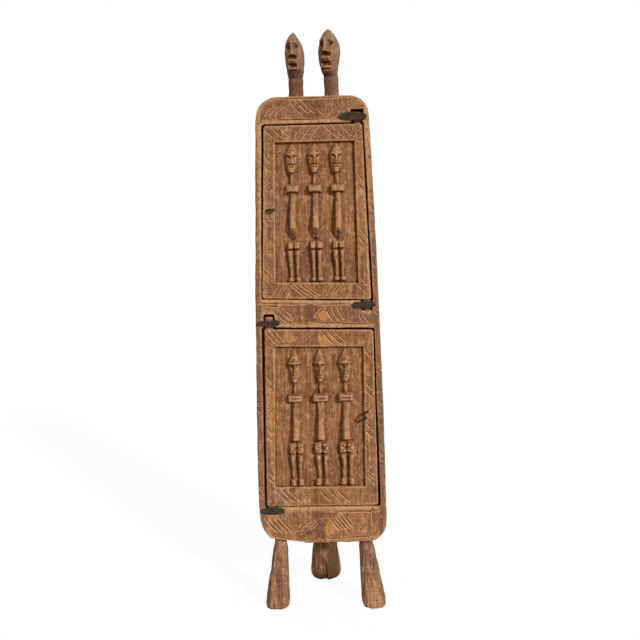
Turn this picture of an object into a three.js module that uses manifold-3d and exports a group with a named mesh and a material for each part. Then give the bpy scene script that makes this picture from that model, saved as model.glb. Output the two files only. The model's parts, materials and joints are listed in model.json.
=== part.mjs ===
// Tall narrow box hollowed out of one log, on three legs, with two heads on top and two relief doors.
// Millimetres, +Z up. The front faces -Y and lies in the plane y = 0 while the pieces are made.
import * as THREE from "three";
import { mergeVertices } from "three/addons/utils/BufferGeometryUtils.js";
import Module from "manifold-3d";

const wasm = await Module();
wasm.setup();

// Heights of the carcass, from the floor up
const LEG_HEIGHT = 112;
const BOTTOM_RAIL = 65;
const LOWER_POCKET_HEIGHT = 310.5;
const MID_RAIL = 42;
const UPPER_POCKET_HEIGHT = 308.5;
const TOP_RAIL = 48;

// Every cut runs this far past the face that it opens, and every carved form is rooted this deep
const PAST = 5;
const ROOT = 1.5;

// Outline of the log: its half width and depth swell a little towards the bottom
const HALF_WIDTH_LOW = 110.5;
const HALF_WIDTH_HIGH = 99;
const DEPTH_LOW = 155;
const DEPTH_HIGH = 143;
const WIDEST_ABOVE_UNDERSIDE = 138;
const SWELL_POWER = 1.6;
const BACK_ROUNDNESS = 2.4;
const FRONT_EDGE_RADIUS = 4;

// How finely the log is lofted: points along the back and front edges, and shares of its rounded ends
const BACK_STEPS = 24;
const EDGE_TURNS = [0.3, 0.65, 1];
const BOTTOM_STEPS = [0, 0.03, 0.1, 0.22, 0.4, 0.65, 1];
const MIDDLE_STEPS = 9;
const TOP_STEPS = [1, 0.6, 0.35, 0.18, 0.07, 0.02, 0];
const HOLLOW_STEPS = 20;

// Corners of the log, rounded towards its ends: how far in and how far along each one reaches
const TOP_LEFT_CORNER = { inward: 42, along: 40 };
const TOP_RIGHT_CORNER = { inward: 40, along: 36 };
const BOTTOM_LEFT_CORNER = { inward: 50, along: 66 };
const BOTTOM_RIGHT_CORNER = { inward: 40, along: 38 };
const BACK_CORNER = { inward: 34, along: 38 };
const CORNER_POWER = 2.4;

// The underside rises to the left of this place
const UNDERSIDE_RISE = { from: -17, slope: 0.145 };

// Walls of the hollow
const STILE = 10.5;
const LEDGE = 8;
const BACK_WALL = 16;

// The pockets that the doors lie in are cut a little out of square
const UPPER_SILL_SLOPE = 6.5;
const LOWER_HEAD_SLOPE = 5.5;
const LOWER_SILL_SLOPE = 2.5;

// Doors
const DOOR_THICKNESS = 19;
const DOOR_BACK_GAP = 1.2;
const DOOR_CORNER_RADIUS = 5;
const UPPER_GAP = { hingeHigh: 2.6, hingeLow: 2.6, freeHigh: 4.2, freeLow: 2, head: 2.6, sill: 1.8 };
const LOWER_GAP = { hingeHigh: 4.4, hingeLow: 2.6, freeHigh: 2, freeLow: 3.8, head: 3.4, sill: 1.8 };
const UPPER_FRAME = { hingeHigh: 14.4, hingeLow: 21.4, freeHigh: 18.3, freeLow: 23.5, head: 29, sill: 28.5 };
const LOWER_FRAME = { hingeHigh: 18, hingeLow: 16.4, freeHigh: 17.8, freeLow: 21.2, head: 30, sill: 32.5 };
const RECESS_DEPTH = 7;

// Wooden pintles that the doors turn on, in notches open to the front
const PINTLE_RADIUS = 7.25;
const PINTLE_FROM_EDGE = 8.5;
const PINTLE_SIDES = 20;
const PINTLE_REST = 0.3;
const UPPER_PINTLE = { high: 18, low: 17.5 };
const LOWER_PINTLE = { high: 21, low: 12.5 };
const NOTCH_SIDE_GAP = 2;
const NOTCH_BACK_GAP = 0.8;
const NOTCH_HEAD_GAP = 4.5;
const HINGE_FRONT_RADIUS = 6;
const HINGE_BACK_RADIUS = 8;
const STOP_MARGIN_DEG = 3;

// Flat iron staples across the notches, each measured from the pintle's axis at the staple's height:
// reach of the prongs on either side, height over or under the door, and outline to the right and up
const STAPLE_THICKNESS = 2.5;
const PRONG_SIZE = 2.6;
const PRONG_LENGTH = 11;
const IRON_GAP = 0.3;
const UPPER_HIGH_STAPLE = {
  inner: 28.5, outer: 14.2, offset: 12.5,
  outline: [[-32, -0.5], [-27, 5], [-18, 7.4], [-7, 8], [4, 7], [13, 5], [17, 1], [16.8, -3.5], [11, -7],
    [-11, -7], [-23, -5.5], [-29, -3.5]],
};
const UPPER_LOW_STAPLE = {
  inner: 22.5, outer: 12.8, offset: 9,
  outline: [[-25.5, 2], [-21, 5.5], [-10, 6.5], [2, 6], [10, 4], [15.3, 0.5], [14.5, -3], [6, -5.4], [-8, -6],
    [-19, -5.5], [-25, -3.5]],
};
const LOWER_HIGH_STAPLE = {
  inner: 16.5, outer: 17.8, offset: 10.4,
  outline: [[-22, 0.5], [-17, 4], [-6, 5.6], [7, 5], [14, 5.8], [19.3, 3.2], [17.6, 0.6], [19, -2], [13, -5],
    [2, -5.6], [-10, -5], [-18, -3]],
};
const LOWER_LOW_STAPLE = {
  inner: 20, outer: 16, offset: 8,
  outline: [[-20.2, -0.5], [-15, 4], [-5, 6.2], [8, 6.4], [18, 5], [22.8, 3], [23, -3], [17, -5.6], [4, -6.5],
    [-8, -5.5], [-16, -3.4]],
};

// Bent iron eyes that the doors are pulled by
const PULL_WIRE = 4.2;
const PULL_SPREAD = 11;
const PULL_DEPTH = 9;
const PULL_SIDES = 8;
const BEND_STEPS = 7;
const UPPER_PULL = { rise: 152, fromEdge: 12, turn: 90, lean: 4, proud: 12 };
const LOWER_PULL = { rise: 156, fromEdge: 15.5, turn: 12, lean: 6, proud: 16 };

// Legs: middle and half sizes across and front to back, at the foot and where the log takes them in
const LEFT_LEG = {
  foot: { x: -82.8, y: 15, across: 21, deep: 20 },
  top: { x: -74.6, y: 20, across: 11, deep: 13 },
  rounding: 8,
};
const RIGHT_LEG = {
  foot: { x: 85.7, y: 8, across: 20.8, deep: 20 },
  top: { x: 73.3, y: 18, across: 11.4, deep: 13 },
  rounding: 8,
};
const BACK_LEG = {
  foot: { x: 2.5, y: 138, across: 30, deep: 27 },
  top: { x: 2.5, y: 104, across: 17.5, deep: 18 },
  rounding: 20,
};
const LEG_ROOT = 22;
const LEG_ROUNDNESS = 2.7;
const LEG_SIDES = 18;
const SOLE_STEPS = [0, 0.06, 0.2, 0.42, 0.7, 1];

// Necks and heads. Heights count from under the jaw, and the tables list them upwards:
// outline is the half width, middle the place across, front and back the reach from the neck's axis,
// and face what the lips stand out and the cuts between them go in
const HEAD_SETBACK = 70;
const NECK_RADIUS = 12.8;
const NECK_ROOT = 8;
const NECK_SIDES = 20;
const HEAD_SIDES = 32;
const HEAD_LEVELS = 30;
const NOSE = { reach: 8.5, halfLow: 8, halfHigh: 2.6, edge: 0.8 };
const EYE = { below: 8.5, socket: 4, pit: 4 };
const LEFT_HEAD = {
  neckX: -29, neck: 43, turn: -13, nose: 41.5, brow: 66, eye: 7.6, lips: 9.4,
  outline: [[0, 12.8], [8, 14.4], [19, 16.2], [29, 17.6], [50, 17.8], [61, 16.1], [71, 12.2], [82, 6.2],
    [88, 0.8]],
  middle: [[0, -27.8], [29, -28.4], [50, -29.4], [71, -31.2], [88, -31.8]],
  front: [[0, 11.5], [6, 14.5], [13, 19.5], [22, 20], [36, 18.5], [58, 18], [68, 18], [77, 13], [88, 0.8]],
  back: [[0, 12], [20, 15], [48, 18], [68, 14], [82, 6.5], [88, 0.8]],
  face: [[12, 0], [14, -2.5], [17, -2.5], [18, 3.2], [20.8, 2.8], [22, -4.5], [25.5, -5], [27, 1], [32, 4.2],
    [34, 3.2], [35, -4], [40.5, -4.5], [41.5, 0]],
};
const RIGHT_HEAD = {
  neckX: 36.6, neck: 46, turn: -23, nose: 42.6, brow: 66, eye: 8.6, lips: 10.4,
  outline: [[0, 11.6], [5, 12.8], [16, 15.6], [26, 18.2], [37, 19.4], [47, 20.4], [58, 19.3], [68, 16.4],
    [79, 10.8], [86, 5], [88.5, 1.5]],
  middle: [[0, 35.8], [10, 34.2], [26, 33.6], [58, 33.8], [88.5, 32.6]],
  front: [[0, 12], [5, 16], [12, 20.5], [22, 21.5], [38, 20.5], [58, 19.5], [68, 19], [79, 13], [86, 6],
    [88.5, 1.5]],
  back: [[0, 12], [20, 16], [48, 20], [68, 17], [80, 10], [88.5, 1.5]],
  face: [[9, 0], [10.5, -3], [13, -3], [14.7, 3.4], [18, 3], [19.5, -4.5], [24.5, -5], [26.5, 0.5],
    [32.4, 4.4], [34.4, 3.6], [35.5, -4], [41.5, -4.5], [42.6, 0]],
};

// Relief figures, three on each door: heights measured down from the top of the recess
const UPPER_FIGURE = {
  spacing: 39, shift: 1, crown: 3, brow: 21, nose: 38, mouth: 42, chin: 54, neckLow: 73, barLow: 86.5,
  chestLow: 149, chestEnd: 168, hipHigh: 171.5, hipLow: 185, footHigh: 234, footLow: 240, faceHalf: 10.4,
  capHalf: 11.2,
};
const LOWER_FIGURE = {
  spacing: 44, shift: 3, crown: 4, brow: 28.5, nose: 47.5, mouth: 51.5, chin: 60.5, neckLow: 80, barLow: 94,
  chestLow: 158, chestEnd: 163, hipHigh: 164.5, hipLow: 183, footHigh: 227, footLow: 238, faceHalf: 9.6,
  capHalf: 11.6,
};
const RELIEF = {
  chin: 8, jaw: 10, cheek: 8.4, eye: 9.2, cap: 12.6, crown: 3, nose: 13, neck: 6.5, bar: 12, chestHigh: 7,
  chestLow: 14.5, hip: 10.5, knee: 10, shin: 6.5, foot: 9,
};
const FACE_ROUNDNESS = 1.6;
const FACE_STEPS = 8;
const BAR_HALF = 13;
const CHEST_HALF = 5.2;
const NECK_HALF = 3.6;
const HIP_HALF = 12.2;
const HIP_SPLIT = 3.6;
const LEG_HALF = 11;
const LEG_SPLIT = 3;

// Heights of the carcass worked out from the list above
const LOWER_SILL_Z = LEG_HEIGHT + BOTTOM_RAIL;
const LOWER_HEAD_Z = LOWER_SILL_Z + LOWER_POCKET_HEIGHT;
const UPPER_SILL_Z = LOWER_HEAD_Z + MID_RAIL;
const UPPER_HEAD_Z = UPPER_SILL_Z + UPPER_POCKET_HEIGHT;
const TOP_Z = UPPER_HEAD_Z + TOP_RAIL;
const WIDEST_Z = LEG_HEIGHT + WIDEST_ABOVE_UNDERSIDE;
const POCKET_DEPTH = DOOR_THICKNESS + DOOR_BACK_GAP;
const AXIS_Y = DOOR_THICKNESS / 2;
const NOTCH_DEPTH = AXIS_Y + PINTLE_RADIUS + NOTCH_BACK_GAP;
const NOTCH_HALF = PINTLE_RADIUS + NOTCH_SIDE_GAP;

// Solids from geometries and back
function solid(geometry) {
  const bare = geometry.clone();
  bare.deleteAttribute("normal");
  bare.deleteAttribute("uv");
  const merged = mergeVertices(bare, 1e-4);
  return new wasm.Manifold(
    new wasm.Mesh({
      numProp: 3,
      vertProperties: new Float32Array(merged.attributes.position.array),
      triVerts: new Uint32Array(merged.index.array),
    }),
  );
}

function joined(solids) {
  return solids.reduce((whole, piece) => whole.add(piece));
}

function piece(name, made, material) {
  const { vertProperties, triVerts } = made.getMesh();
  const geometry = new THREE.BufferGeometry();
  geometry.setAttribute("position", new THREE.BufferAttribute(new Float32Array(vertProperties), 3));
  geometry.setIndex(new THREE.BufferAttribute(new Uint32Array(triVerts), 1));
  geometry.computeVertexNormals();
  const mesh = new THREE.Mesh(geometry, material);
  mesh.name = name;
  return mesh;
}

// A closed skin through rings of equally many points, listed from the bottom ring up.
// Each ring runs counterclockwise seen from above, and both ends are closed by a fan round the ring's middle.
function loft(rings) {
  const count = rings[0].length;
  const points = rings.flat();
  const index = [];
  for (let level = 0; level + 1 < rings.length; level++) {
    for (let i = 0; i < count; i++) {
      const a = level * count + i;
      const b = level * count + ((i + 1) % count);
      index.push(a, b, b + count, a, b + count, a + count);
    }
  }
  const middle = (ring) => ring.reduce((sum, p) => sum.clone().add(p)).divideScalar(count);
  const lowMiddle = points.push(middle(rings[0])) - 1;
  const highMiddle = points.push(middle(rings[rings.length - 1])) - 1;
  const highStart = (rings.length - 1) * count;
  for (let i = 0; i < count; i++) {
    const next = (i + 1) % count;
    index.push(lowMiddle, next, i);
    index.push(highMiddle, highStart + i, highStart + next);
  }
  const geometry = new THREE.BufferGeometry().setFromPoints(points);
  geometry.setIndex(index);
  return solid(geometry);
}

// A flat outline in x and z carried back along y from one depth to another
function slab(corners, front, back, radius = 0) {
  const depth = back - front;
  const shape = roundedOutline(corners, radius);
  return standing(new THREE.ExtrudeGeometry(shape, { depth, bevelEnabled: false, curveSegments: 4 }), back);
}

// Stands up what was drawn flat, with its back at a depth
function standing(geometry, back) {
  geometry.rotateX(Math.PI / 2);
  geometry.translate(0, back, 0);
  return solid(geometry);
}

// A side outline in y and z carried along x, centred on a place
function sideSlab(corners, centre, width) {
  const shape = new THREE.Shape(corners.map(([y, z]) => new THREE.Vector2(y, z)));
  const geometry = new THREE.ExtrudeGeometry(shape, { depth: width, bevelEnabled: false });
  geometry.rotateX(Math.PI / 2);
  geometry.rotateZ(Math.PI / 2);
  geometry.translate(centre - width / 2, 0, 0);
  return solid(geometry);
}

function box(low, high) {
  const size = new THREE.Vector3().subVectors(high, low);
  const geometry = new THREE.BoxGeometry(size.x, size.y, size.z);
  geometry.translate((low.x + high.x) / 2, (low.y + high.y) / 2, (low.z + high.z) / 2);
  return solid(geometry);
}

function roundedOutline(corners, radius) {
  const points = corners.map(([x, z]) => new THREE.Vector2(x, z));
  if (radius === 0) return new THREE.Shape(points);
  const shape = new THREE.Shape();
  points.forEach((corner, i) => {
    const before = points[(i + points.length - 1) % points.length].clone().sub(corner).setLength(radius);
    const after = points[(i + 1) % points.length].clone().sub(corner).setLength(radius);
    const start = corner.clone().add(before);
    const end = corner.clone().add(after);
    if (i === 0) shape.moveTo(start.x, start.y);
    else shape.lineTo(start.x, start.y);
    shape.quadraticCurveTo(corner.x, corner.y, end.x, end.y);
  });
  shape.closePath();
  return shape;
}

// Half width and depth of the log at a height, before its ends are rounded
function swell(z, low, high) {
  const rise = Math.max(0, z - WIDEST_Z) / (UPPER_HEAD_Z - WIDEST_Z);
  return low - (low - high) * rise ** SWELL_POWER;
}

// How much a corner draws the log in at a height near its end
function cornerInset(distance, corner) {
  if (distance >= corner.along) return 0;
  const t = 1 - Math.max(0, distance) / corner.along;
  return corner.inward * (1 - (1 - t ** CORNER_POWER) ** (1 / CORNER_POWER));
}

function sectionAt(z) {
  const fromTop = TOP_Z - z;
  const fromBottom = z - LEG_HEIGHT;
  const half = swell(z, HALF_WIDTH_LOW, HALF_WIDTH_HIGH);
  const insetLeft = cornerInset(fromTop, TOP_LEFT_CORNER) + cornerInset(fromBottom, BOTTOM_LEFT_CORNER);
  const insetRight = cornerInset(fromTop, TOP_RIGHT_CORNER) + cornerInset(fromBottom, BOTTOM_RIGHT_CORNER);
  const insetBack = cornerInset(fromTop, BACK_CORNER) + cornerInset(fromBottom, BACK_CORNER);
  const edge = { inward: FRONT_EDGE_RADIUS, along: FRONT_EDGE_RADIUS };
  return {
    left: half - insetLeft,
    right: half - insetRight,
    depth: swell(z, DEPTH_LOW, DEPTH_HIGH) - insetBack,
    front: cornerInset(fromTop, edge) + cornerInset(fromBottom, edge),
  };
}

// Points all round a closed curve that lies between an ellipse and a rectangle
function ovalPoint(angle, across, deep, roundness) {
  const c = Math.cos(angle);
  const s = Math.sin(angle);
  const power = 2 / roundness;
  return [across * Math.sign(c) * Math.abs(c) ** power, deep * Math.sign(s) * Math.abs(s) ** power];
}

// A flat front, two rounded front edges and one round sweep over the back
function logRing(z, { left, right, depth, front }, radius, steps) {
  const ring = [];
  for (let i = 0; i <= steps; i++) {
    const angle = (Math.PI * i) / steps;
    const half = angle < Math.PI / 2 ? right : left;
    const [x, y] = ovalPoint(angle, half, depth - front - radius, BACK_ROUNDNESS);
    ring.push(new THREE.Vector3(x, front + radius + y, z));
  }
  if (radius > 0) {
    for (const turn of EDGE_TURNS) ring.push(edgePoint(-left, 1, turn, front, radius, z));
    for (const turn of [...EDGE_TURNS].reverse()) ring.push(edgePoint(right, -1, turn, front, radius, z));
  }
  return ring;
}

// A point on the rounding of a front edge; turn goes from 0 at the side to 1 on the front
function edgePoint(side, inward, turn, front, radius, z) {
  const angle = (turn * Math.PI) / 2;
  const x = side + inward * radius * (1 - Math.cos(angle));
  return new THREE.Vector3(x, front + radius * (1 - Math.sin(angle)), z);
}

function log() {
  const low = BOTTOM_STEPS.map((t) => LEG_HEIGHT + t * BOTTOM_LEFT_CORNER.along);
  const high = TOP_STEPS.map((t) => TOP_Z - t * TOP_LEFT_CORNER.along);
  const from = low[low.length - 1];
  const to = high[0];
  const rise = (to - from) / (MIDDLE_STEPS + 1);
  const middle = Array.from({ length: MIDDLE_STEPS }, (_, i) => from + rise * (i + 1));
  const heights = [...low, ...middle, ...high];
  const body = loft(heights.map((z) => logRing(z, sectionAt(z), FRONT_EDGE_RADIUS, BACK_STEPS)));
  const { from: start, slope } = UNDERSIDE_RISE;
  const end = -HALF_WIDTH_LOW - PAST;
  const wedge = [[start, LEG_HEIGHT], [end, LEG_HEIGHT - slope * (end - start)], [end, LEG_HEIGHT]];
  return body.subtract(slab(wedge, -PAST, DEPTH_LOW + PAST));
}

// A pocket's four corners: its sides stand one stile in from the log's own sides
function pocketCorners(hinge, headHinge, headFree, sillHinge, sillFree) {
  const at = (side, z) => [side * (swell(z, HALF_WIDTH_LOW, HALF_WIDTH_HIGH) - STILE), z];
  return {
    hinge,
    headHinge: at(hinge, headHinge),
    headFree: at(-hinge, headFree),
    sillFree: at(-hinge, sillFree),
    sillHinge: at(hinge, sillHinge),
  };
}

const upperPocket = pocketCorners(
  1, UPPER_HEAD_Z, UPPER_HEAD_Z, UPPER_SILL_Z, UPPER_SILL_Z + UPPER_SILL_SLOPE,
);
const lowerPocket = pocketCorners(
  -1, LOWER_HEAD_Z, LOWER_HEAD_Z - LOWER_HEAD_SLOPE, LOWER_SILL_Z, LOWER_SILL_Z - LOWER_SILL_SLOPE,
);

function cornerList({ headHinge, headFree, sillFree, sillHinge }) {
  return [headHinge, headFree, sillFree, sillHinge];
}

// A door's outline is its pocket less the gaps all round
function doorCorners(pocket, gap) {
  const { hinge } = pocket;
  const [hx, hz] = pocket.headHinge;
  const [fx, fz] = pocket.headFree;
  const [gx, gz] = pocket.sillFree;
  const [jx, jz] = pocket.sillHinge;
  return {
    hinge,
    headHinge: [hx - hinge * gap.hingeHigh, hz - gap.head],
    headFree: [fx + hinge * gap.freeHigh, fz - gap.head],
    sillFree: [gx + hinge * gap.freeLow, gz + gap.sill],
    sillHinge: [jx - hinge * gap.hingeLow, jz + gap.sill],
  };
}

// The pintles' axis runs along the door's hinge edge
function hingeAxis(door) {
  const high = new THREE.Vector3(door.headHinge[0], AXIS_Y, door.headHinge[1]);
  const low = new THREE.Vector3(door.sillHinge[0], AXIS_Y, door.sillHinge[1]);
  const along = high.clone().sub(low).normalize();
  const inward = new THREE.Vector3(-door.hinge * along.z, 0, door.hinge * along.x);
  high.addScaledVector(inward, PINTLE_FROM_EDGE);
  low.addScaledVector(inward, PINTLE_FROM_EDGE);
  return { high, low, along };
}

const upperDoor = doorCorners(upperPocket, UPPER_GAP);
const lowerDoor = doorCorners(lowerPocket, LOWER_GAP);
const upperAxis = hingeAxis(upperDoor);
const lowerAxis = hingeAxis(lowerDoor);

function axisAt(axis, z) {
  return axis.low.clone().addScaledVector(axis.along, (z - axis.low.z) / axis.along.z);
}

// Turns what was made along +Z so that it runs along a leaning axis
function leaned(geometry, axis) {
  const lean = Math.atan2(axis.along.x, axis.along.z);
  geometry.rotateY(lean);
  geometry.translate(axis.low.x, axis.low.y, axis.low.z);
  return geometry;
}

// A notch runs from the pocket past the pintle's end, and is open to the front
function notch(axis, high, pintle, pocketZ) {
  const direction = high ? 1 : -1;
  const start = pocketZ - direction * PAST;
  const end = high
    ? axis.high.z + pintle + NOTCH_HEAD_GAP
    : axis.low.z - pintle - PINTLE_REST;
  const centre = axisAt(axis, (start + end) / 2).x;
  const low = new THREE.Vector3(centre - NOTCH_HALF, -PAST, Math.min(start, end));
  const top = new THREE.Vector3(centre + NOTCH_HALF, NOTCH_DEPTH, Math.max(start, end));
  return box(low, top);
}

// Where a staple lies and its two prongs go into the log
function staplePlace(axis, hinge, high, { inner, outer, offset, outline }) {
  const z = high ? axis.high.z + offset : axis.low.z - offset;
  const { x } = axisAt(axis, z);
  return { x, z, prongs: [x - hinge * inner, x + hinge * outer], outline };
}

const stapleSpots = {
  upper_door_top_staple: staplePlace(upperAxis, 1, true, UPPER_HIGH_STAPLE),
  upper_door_bottom_staple: staplePlace(upperAxis, 1, false, UPPER_LOW_STAPLE),
  lower_door_top_staple: staplePlace(lowerAxis, -1, true, LOWER_HIGH_STAPLE),
  lower_door_bottom_staple: staplePlace(lowerAxis, -1, false, LOWER_LOW_STAPLE),
};

function prong(x, z, grow) {
  const half = PRONG_SIZE / 2 + grow;
  const low = new THREE.Vector3(x - half, -IRON_GAP - STAPLE_THICKNESS / 2, z - half);
  return box(low, new THREE.Vector3(x + half, PRONG_LENGTH + grow, z + half));
}

// The hollow behind a door follows the log's own section inside its walls
function compartment(pocket) {
  const sill = Math.max(pocket.sillHinge[1], pocket.sillFree[1]) + LEDGE;
  const head = Math.min(pocket.headHinge[1], pocket.headFree[1]) - LEDGE;
  const rings = [0, 1 / 3, 2 / 3, 1].map((t) => {
    const z = sill + (head - sill) * t;
    const half = swell(z, HALF_WIDTH_LOW, HALF_WIDTH_HIGH) - STILE - LEDGE;
    const depth = swell(z, DEPTH_LOW, DEPTH_HIGH) - BACK_WALL;
    return logRing(z, { left: half, right: half, depth, front: POCKET_DEPTH - ROOT }, 0, HOLLOW_STEPS);
  });
  return loft(rings);
}

// A leg is lofted from a rounded foot up into the log
function leg({ foot, top, rounding }) {
  const inset = (t) => rounding * (1 - Math.sqrt(1 - (1 - t) ** 2));
  const sole = SOLE_STEPS.map((t) => [t * rounding, inset(t)]);
  const levels = [...sole, [LEG_HEIGHT / 2, 0], [LEG_HEIGHT, 0], [LEG_HEIGHT + LEG_ROOT, 0]];
  const rings = levels.map(([z, taken]) => {
    const mix = (name) => THREE.MathUtils.lerp(foot[name], top[name], Math.min(z / LEG_HEIGHT, 1));
    return Array.from({ length: LEG_SIDES }, (_, i) => {
      const angle = (2 * Math.PI * i) / LEG_SIDES;
      const [x, y] = ovalPoint(angle, mix("across") - taken, mix("deep") - taken, LEG_ROUNDNESS);
      return new THREE.Vector3(mix("x") + x, mix("y") + y, z);
    });
  });
  return loft(rings);
}

// A smooth rise from 0 to 1 between two values
function ease(value, from, to) {
  return THREE.MathUtils.smoothstep(value, from, to);
}

// A smooth hump of height 1 that has faded at the given reach
function hump(distance, reach) {
  return Math.exp(-2 * (distance / reach) ** 2);
}

// The value at a height, between the points of a table
function along(table, h) {
  const above = table.findIndex(([height]) => height > h);
  if (above === 0) return table[0][1];
  if (above < 0) return table[table.length - 1][1];
  const [low, from] = table[above - 1];
  const [high, to] = table[above];
  return THREE.MathUtils.lerp(from, to, (h - low) / (high - low));
}

// What the knife left standing on or cut into the front of a head, at a height and a distance to the side
function faceForm({ nose, brow, eye, lips, face }, h, side) {
  const up = THREE.MathUtils.clamp((h - nose) / (brow - nose), 0, 1);
  const halfNose = THREE.MathUtils.lerp(NOSE.halfLow, NOSE.halfHigh, up);
  const ridge = NOSE.reach * (1 - 0.65 * up) * ease(h, nose - NOSE.edge, nose + NOSE.edge);
  const overBrow = 1 - ease(h, brow - 3, brow + 9);
  const socket = hump(h - brow + EYE.below, 8) * hump(side - eye, 6.5);
  const pit = hump(h - brow + EYE.below, 4.2) * hump(side - eye, 4.6);
  return ridge * overBrow * (1 - ease(side, halfNose * 0.3, halfNose))
    + along(face, h) * (1 - ease(side, lips * 0.75, lips))
    - EYE.socket * socket - EYE.pit * pit;
}

// One head: an almond with a keeled nose, two lips and sunk eyes, turned on its neck
function head(spec) {
  const height = spec.outline[spec.outline.length - 1][0];
  const marks = [spec.nose - NOSE.edge, spec.nose + NOSE.edge, ...spec.face.map(([h]) => h)];
  const even = Array.from({ length: HEAD_LEVELS }, (_, i) => (height * i) / (HEAD_LEVELS - 1));
  const spaced = even.filter((h) => marks.every((mark) => Math.abs(h - mark) > NOSE.edge));
  const heights = [...new Set([...spaced, ...marks])].sort((a, b) => a - b);
  const turn = THREE.MathUtils.degToRad(spec.turn);
  const rings = heights.map((h) => {
    const half = along(spec.outline, h);
    const middle = along(spec.middle, h);
    return Array.from({ length: HEAD_SIDES }, (_, i) => {
      const angle = (2 * Math.PI * i) / HEAD_SIDES;
      const x = half * Math.cos(angle);
      const sine = Math.sin(angle);
      const reach = along(sine < 0 ? spec.front : spec.back, h);
      const form = sine < 0 ? faceForm(spec, h, Math.abs(x)) * ease(-sine, 0, 0.4) : 0;
      const point = new THREE.Vector2(x, reach * sine - form).rotateAround(new THREE.Vector2(), turn);
      return new THREE.Vector3(middle + point.x, HEAD_SETBACK + point.y, TOP_Z + spec.neck + h);
    });
  });
  return loft(rings);
}

// A neck flares where it leaves the log: rise over the log and what is added to its radius
function neck(spec) {
  const levels = [[-NECK_ROOT, 2.6], [0, 1.6], [2.5, 0.5], [6, 0], [spec.neck, 0], [spec.neck + 14, -1.5]];
  const lean = spec.middle[0][1] - spec.neckX;
  const rings = levels.map(([rise, flare]) => {
    const radius = NECK_RADIUS + flare;
    const x = spec.neckX + lean * Math.max(0, rise / spec.neck);
    return Array.from({ length: NECK_SIDES }, (_, i) => {
      const [right, back] = ovalPoint((2 * Math.PI * i) / NECK_SIDES, radius, radius, 2);
      return new THREE.Vector3(x + right, HEAD_SETBACK + back, TOP_Z + rise);
    });
  });
  return loft(rings);
}

function carcass() {
  const legs = [LEFT_LEG, RIGHT_LEG, BACK_LEG].map(leg);
  const heads = [LEFT_HEAD, RIGHT_HEAD].flatMap((spec) => [neck(spec), head(spec)]);
  const body = joined([log(), ...legs, ...heads]);
  const cuts = [
    slab(cornerList(upperPocket), -PAST, POCKET_DEPTH),
    slab(cornerList(lowerPocket), -PAST, POCKET_DEPTH),
    compartment(upperPocket),
    compartment(lowerPocket),
    notch(upperAxis, true, UPPER_PINTLE.high, upperPocket.headHinge[1]),
    notch(upperAxis, false, UPPER_PINTLE.low, upperPocket.sillHinge[1]),
    notch(lowerAxis, true, LOWER_PINTLE.high, lowerPocket.headHinge[1]),
    notch(lowerAxis, false, LOWER_PINTLE.low, lowerPocket.sillHinge[1]),
  ];
  for (const spot of Object.values(stapleSpots)) {
    for (const x of spot.prongs) cuts.push(prong(x, spot.z, IRON_GAP));
  }
  return body.subtract(joined(cuts));
}

// A form that stands out of the recess's floor: rings of height, half width and how far it stands out
function reliefForm(levels, roundness) {
  const low = RECESS_DEPTH + ROOT;
  const rings = levels.map(([z, half, proud]) => {
    const ring = [];
    for (let i = 0; i <= FACE_STEPS; i++) {
      const [x, y] = ovalPoint(Math.PI + (Math.PI * i) / FACE_STEPS, half, proud, roundness);
      ring.push(new THREE.Vector3(x, RECESS_DEPTH + y, z));
    }
    ring.push(new THREE.Vector3(half, low, z), new THREE.Vector3(-half, low, z));
    return ring;
  });
  return loft(rings);
}

// A block from x to x, standing out of the recess's floor
function reliefBlock(fromX, toX, fromZ, toZ, proud) {
  return box(
    new THREE.Vector3(fromX, RECESS_DEPTH - proud, fromZ),
    new THREE.Vector3(toX, RECESS_DEPTH + ROOT, toZ),
  );
}

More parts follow.
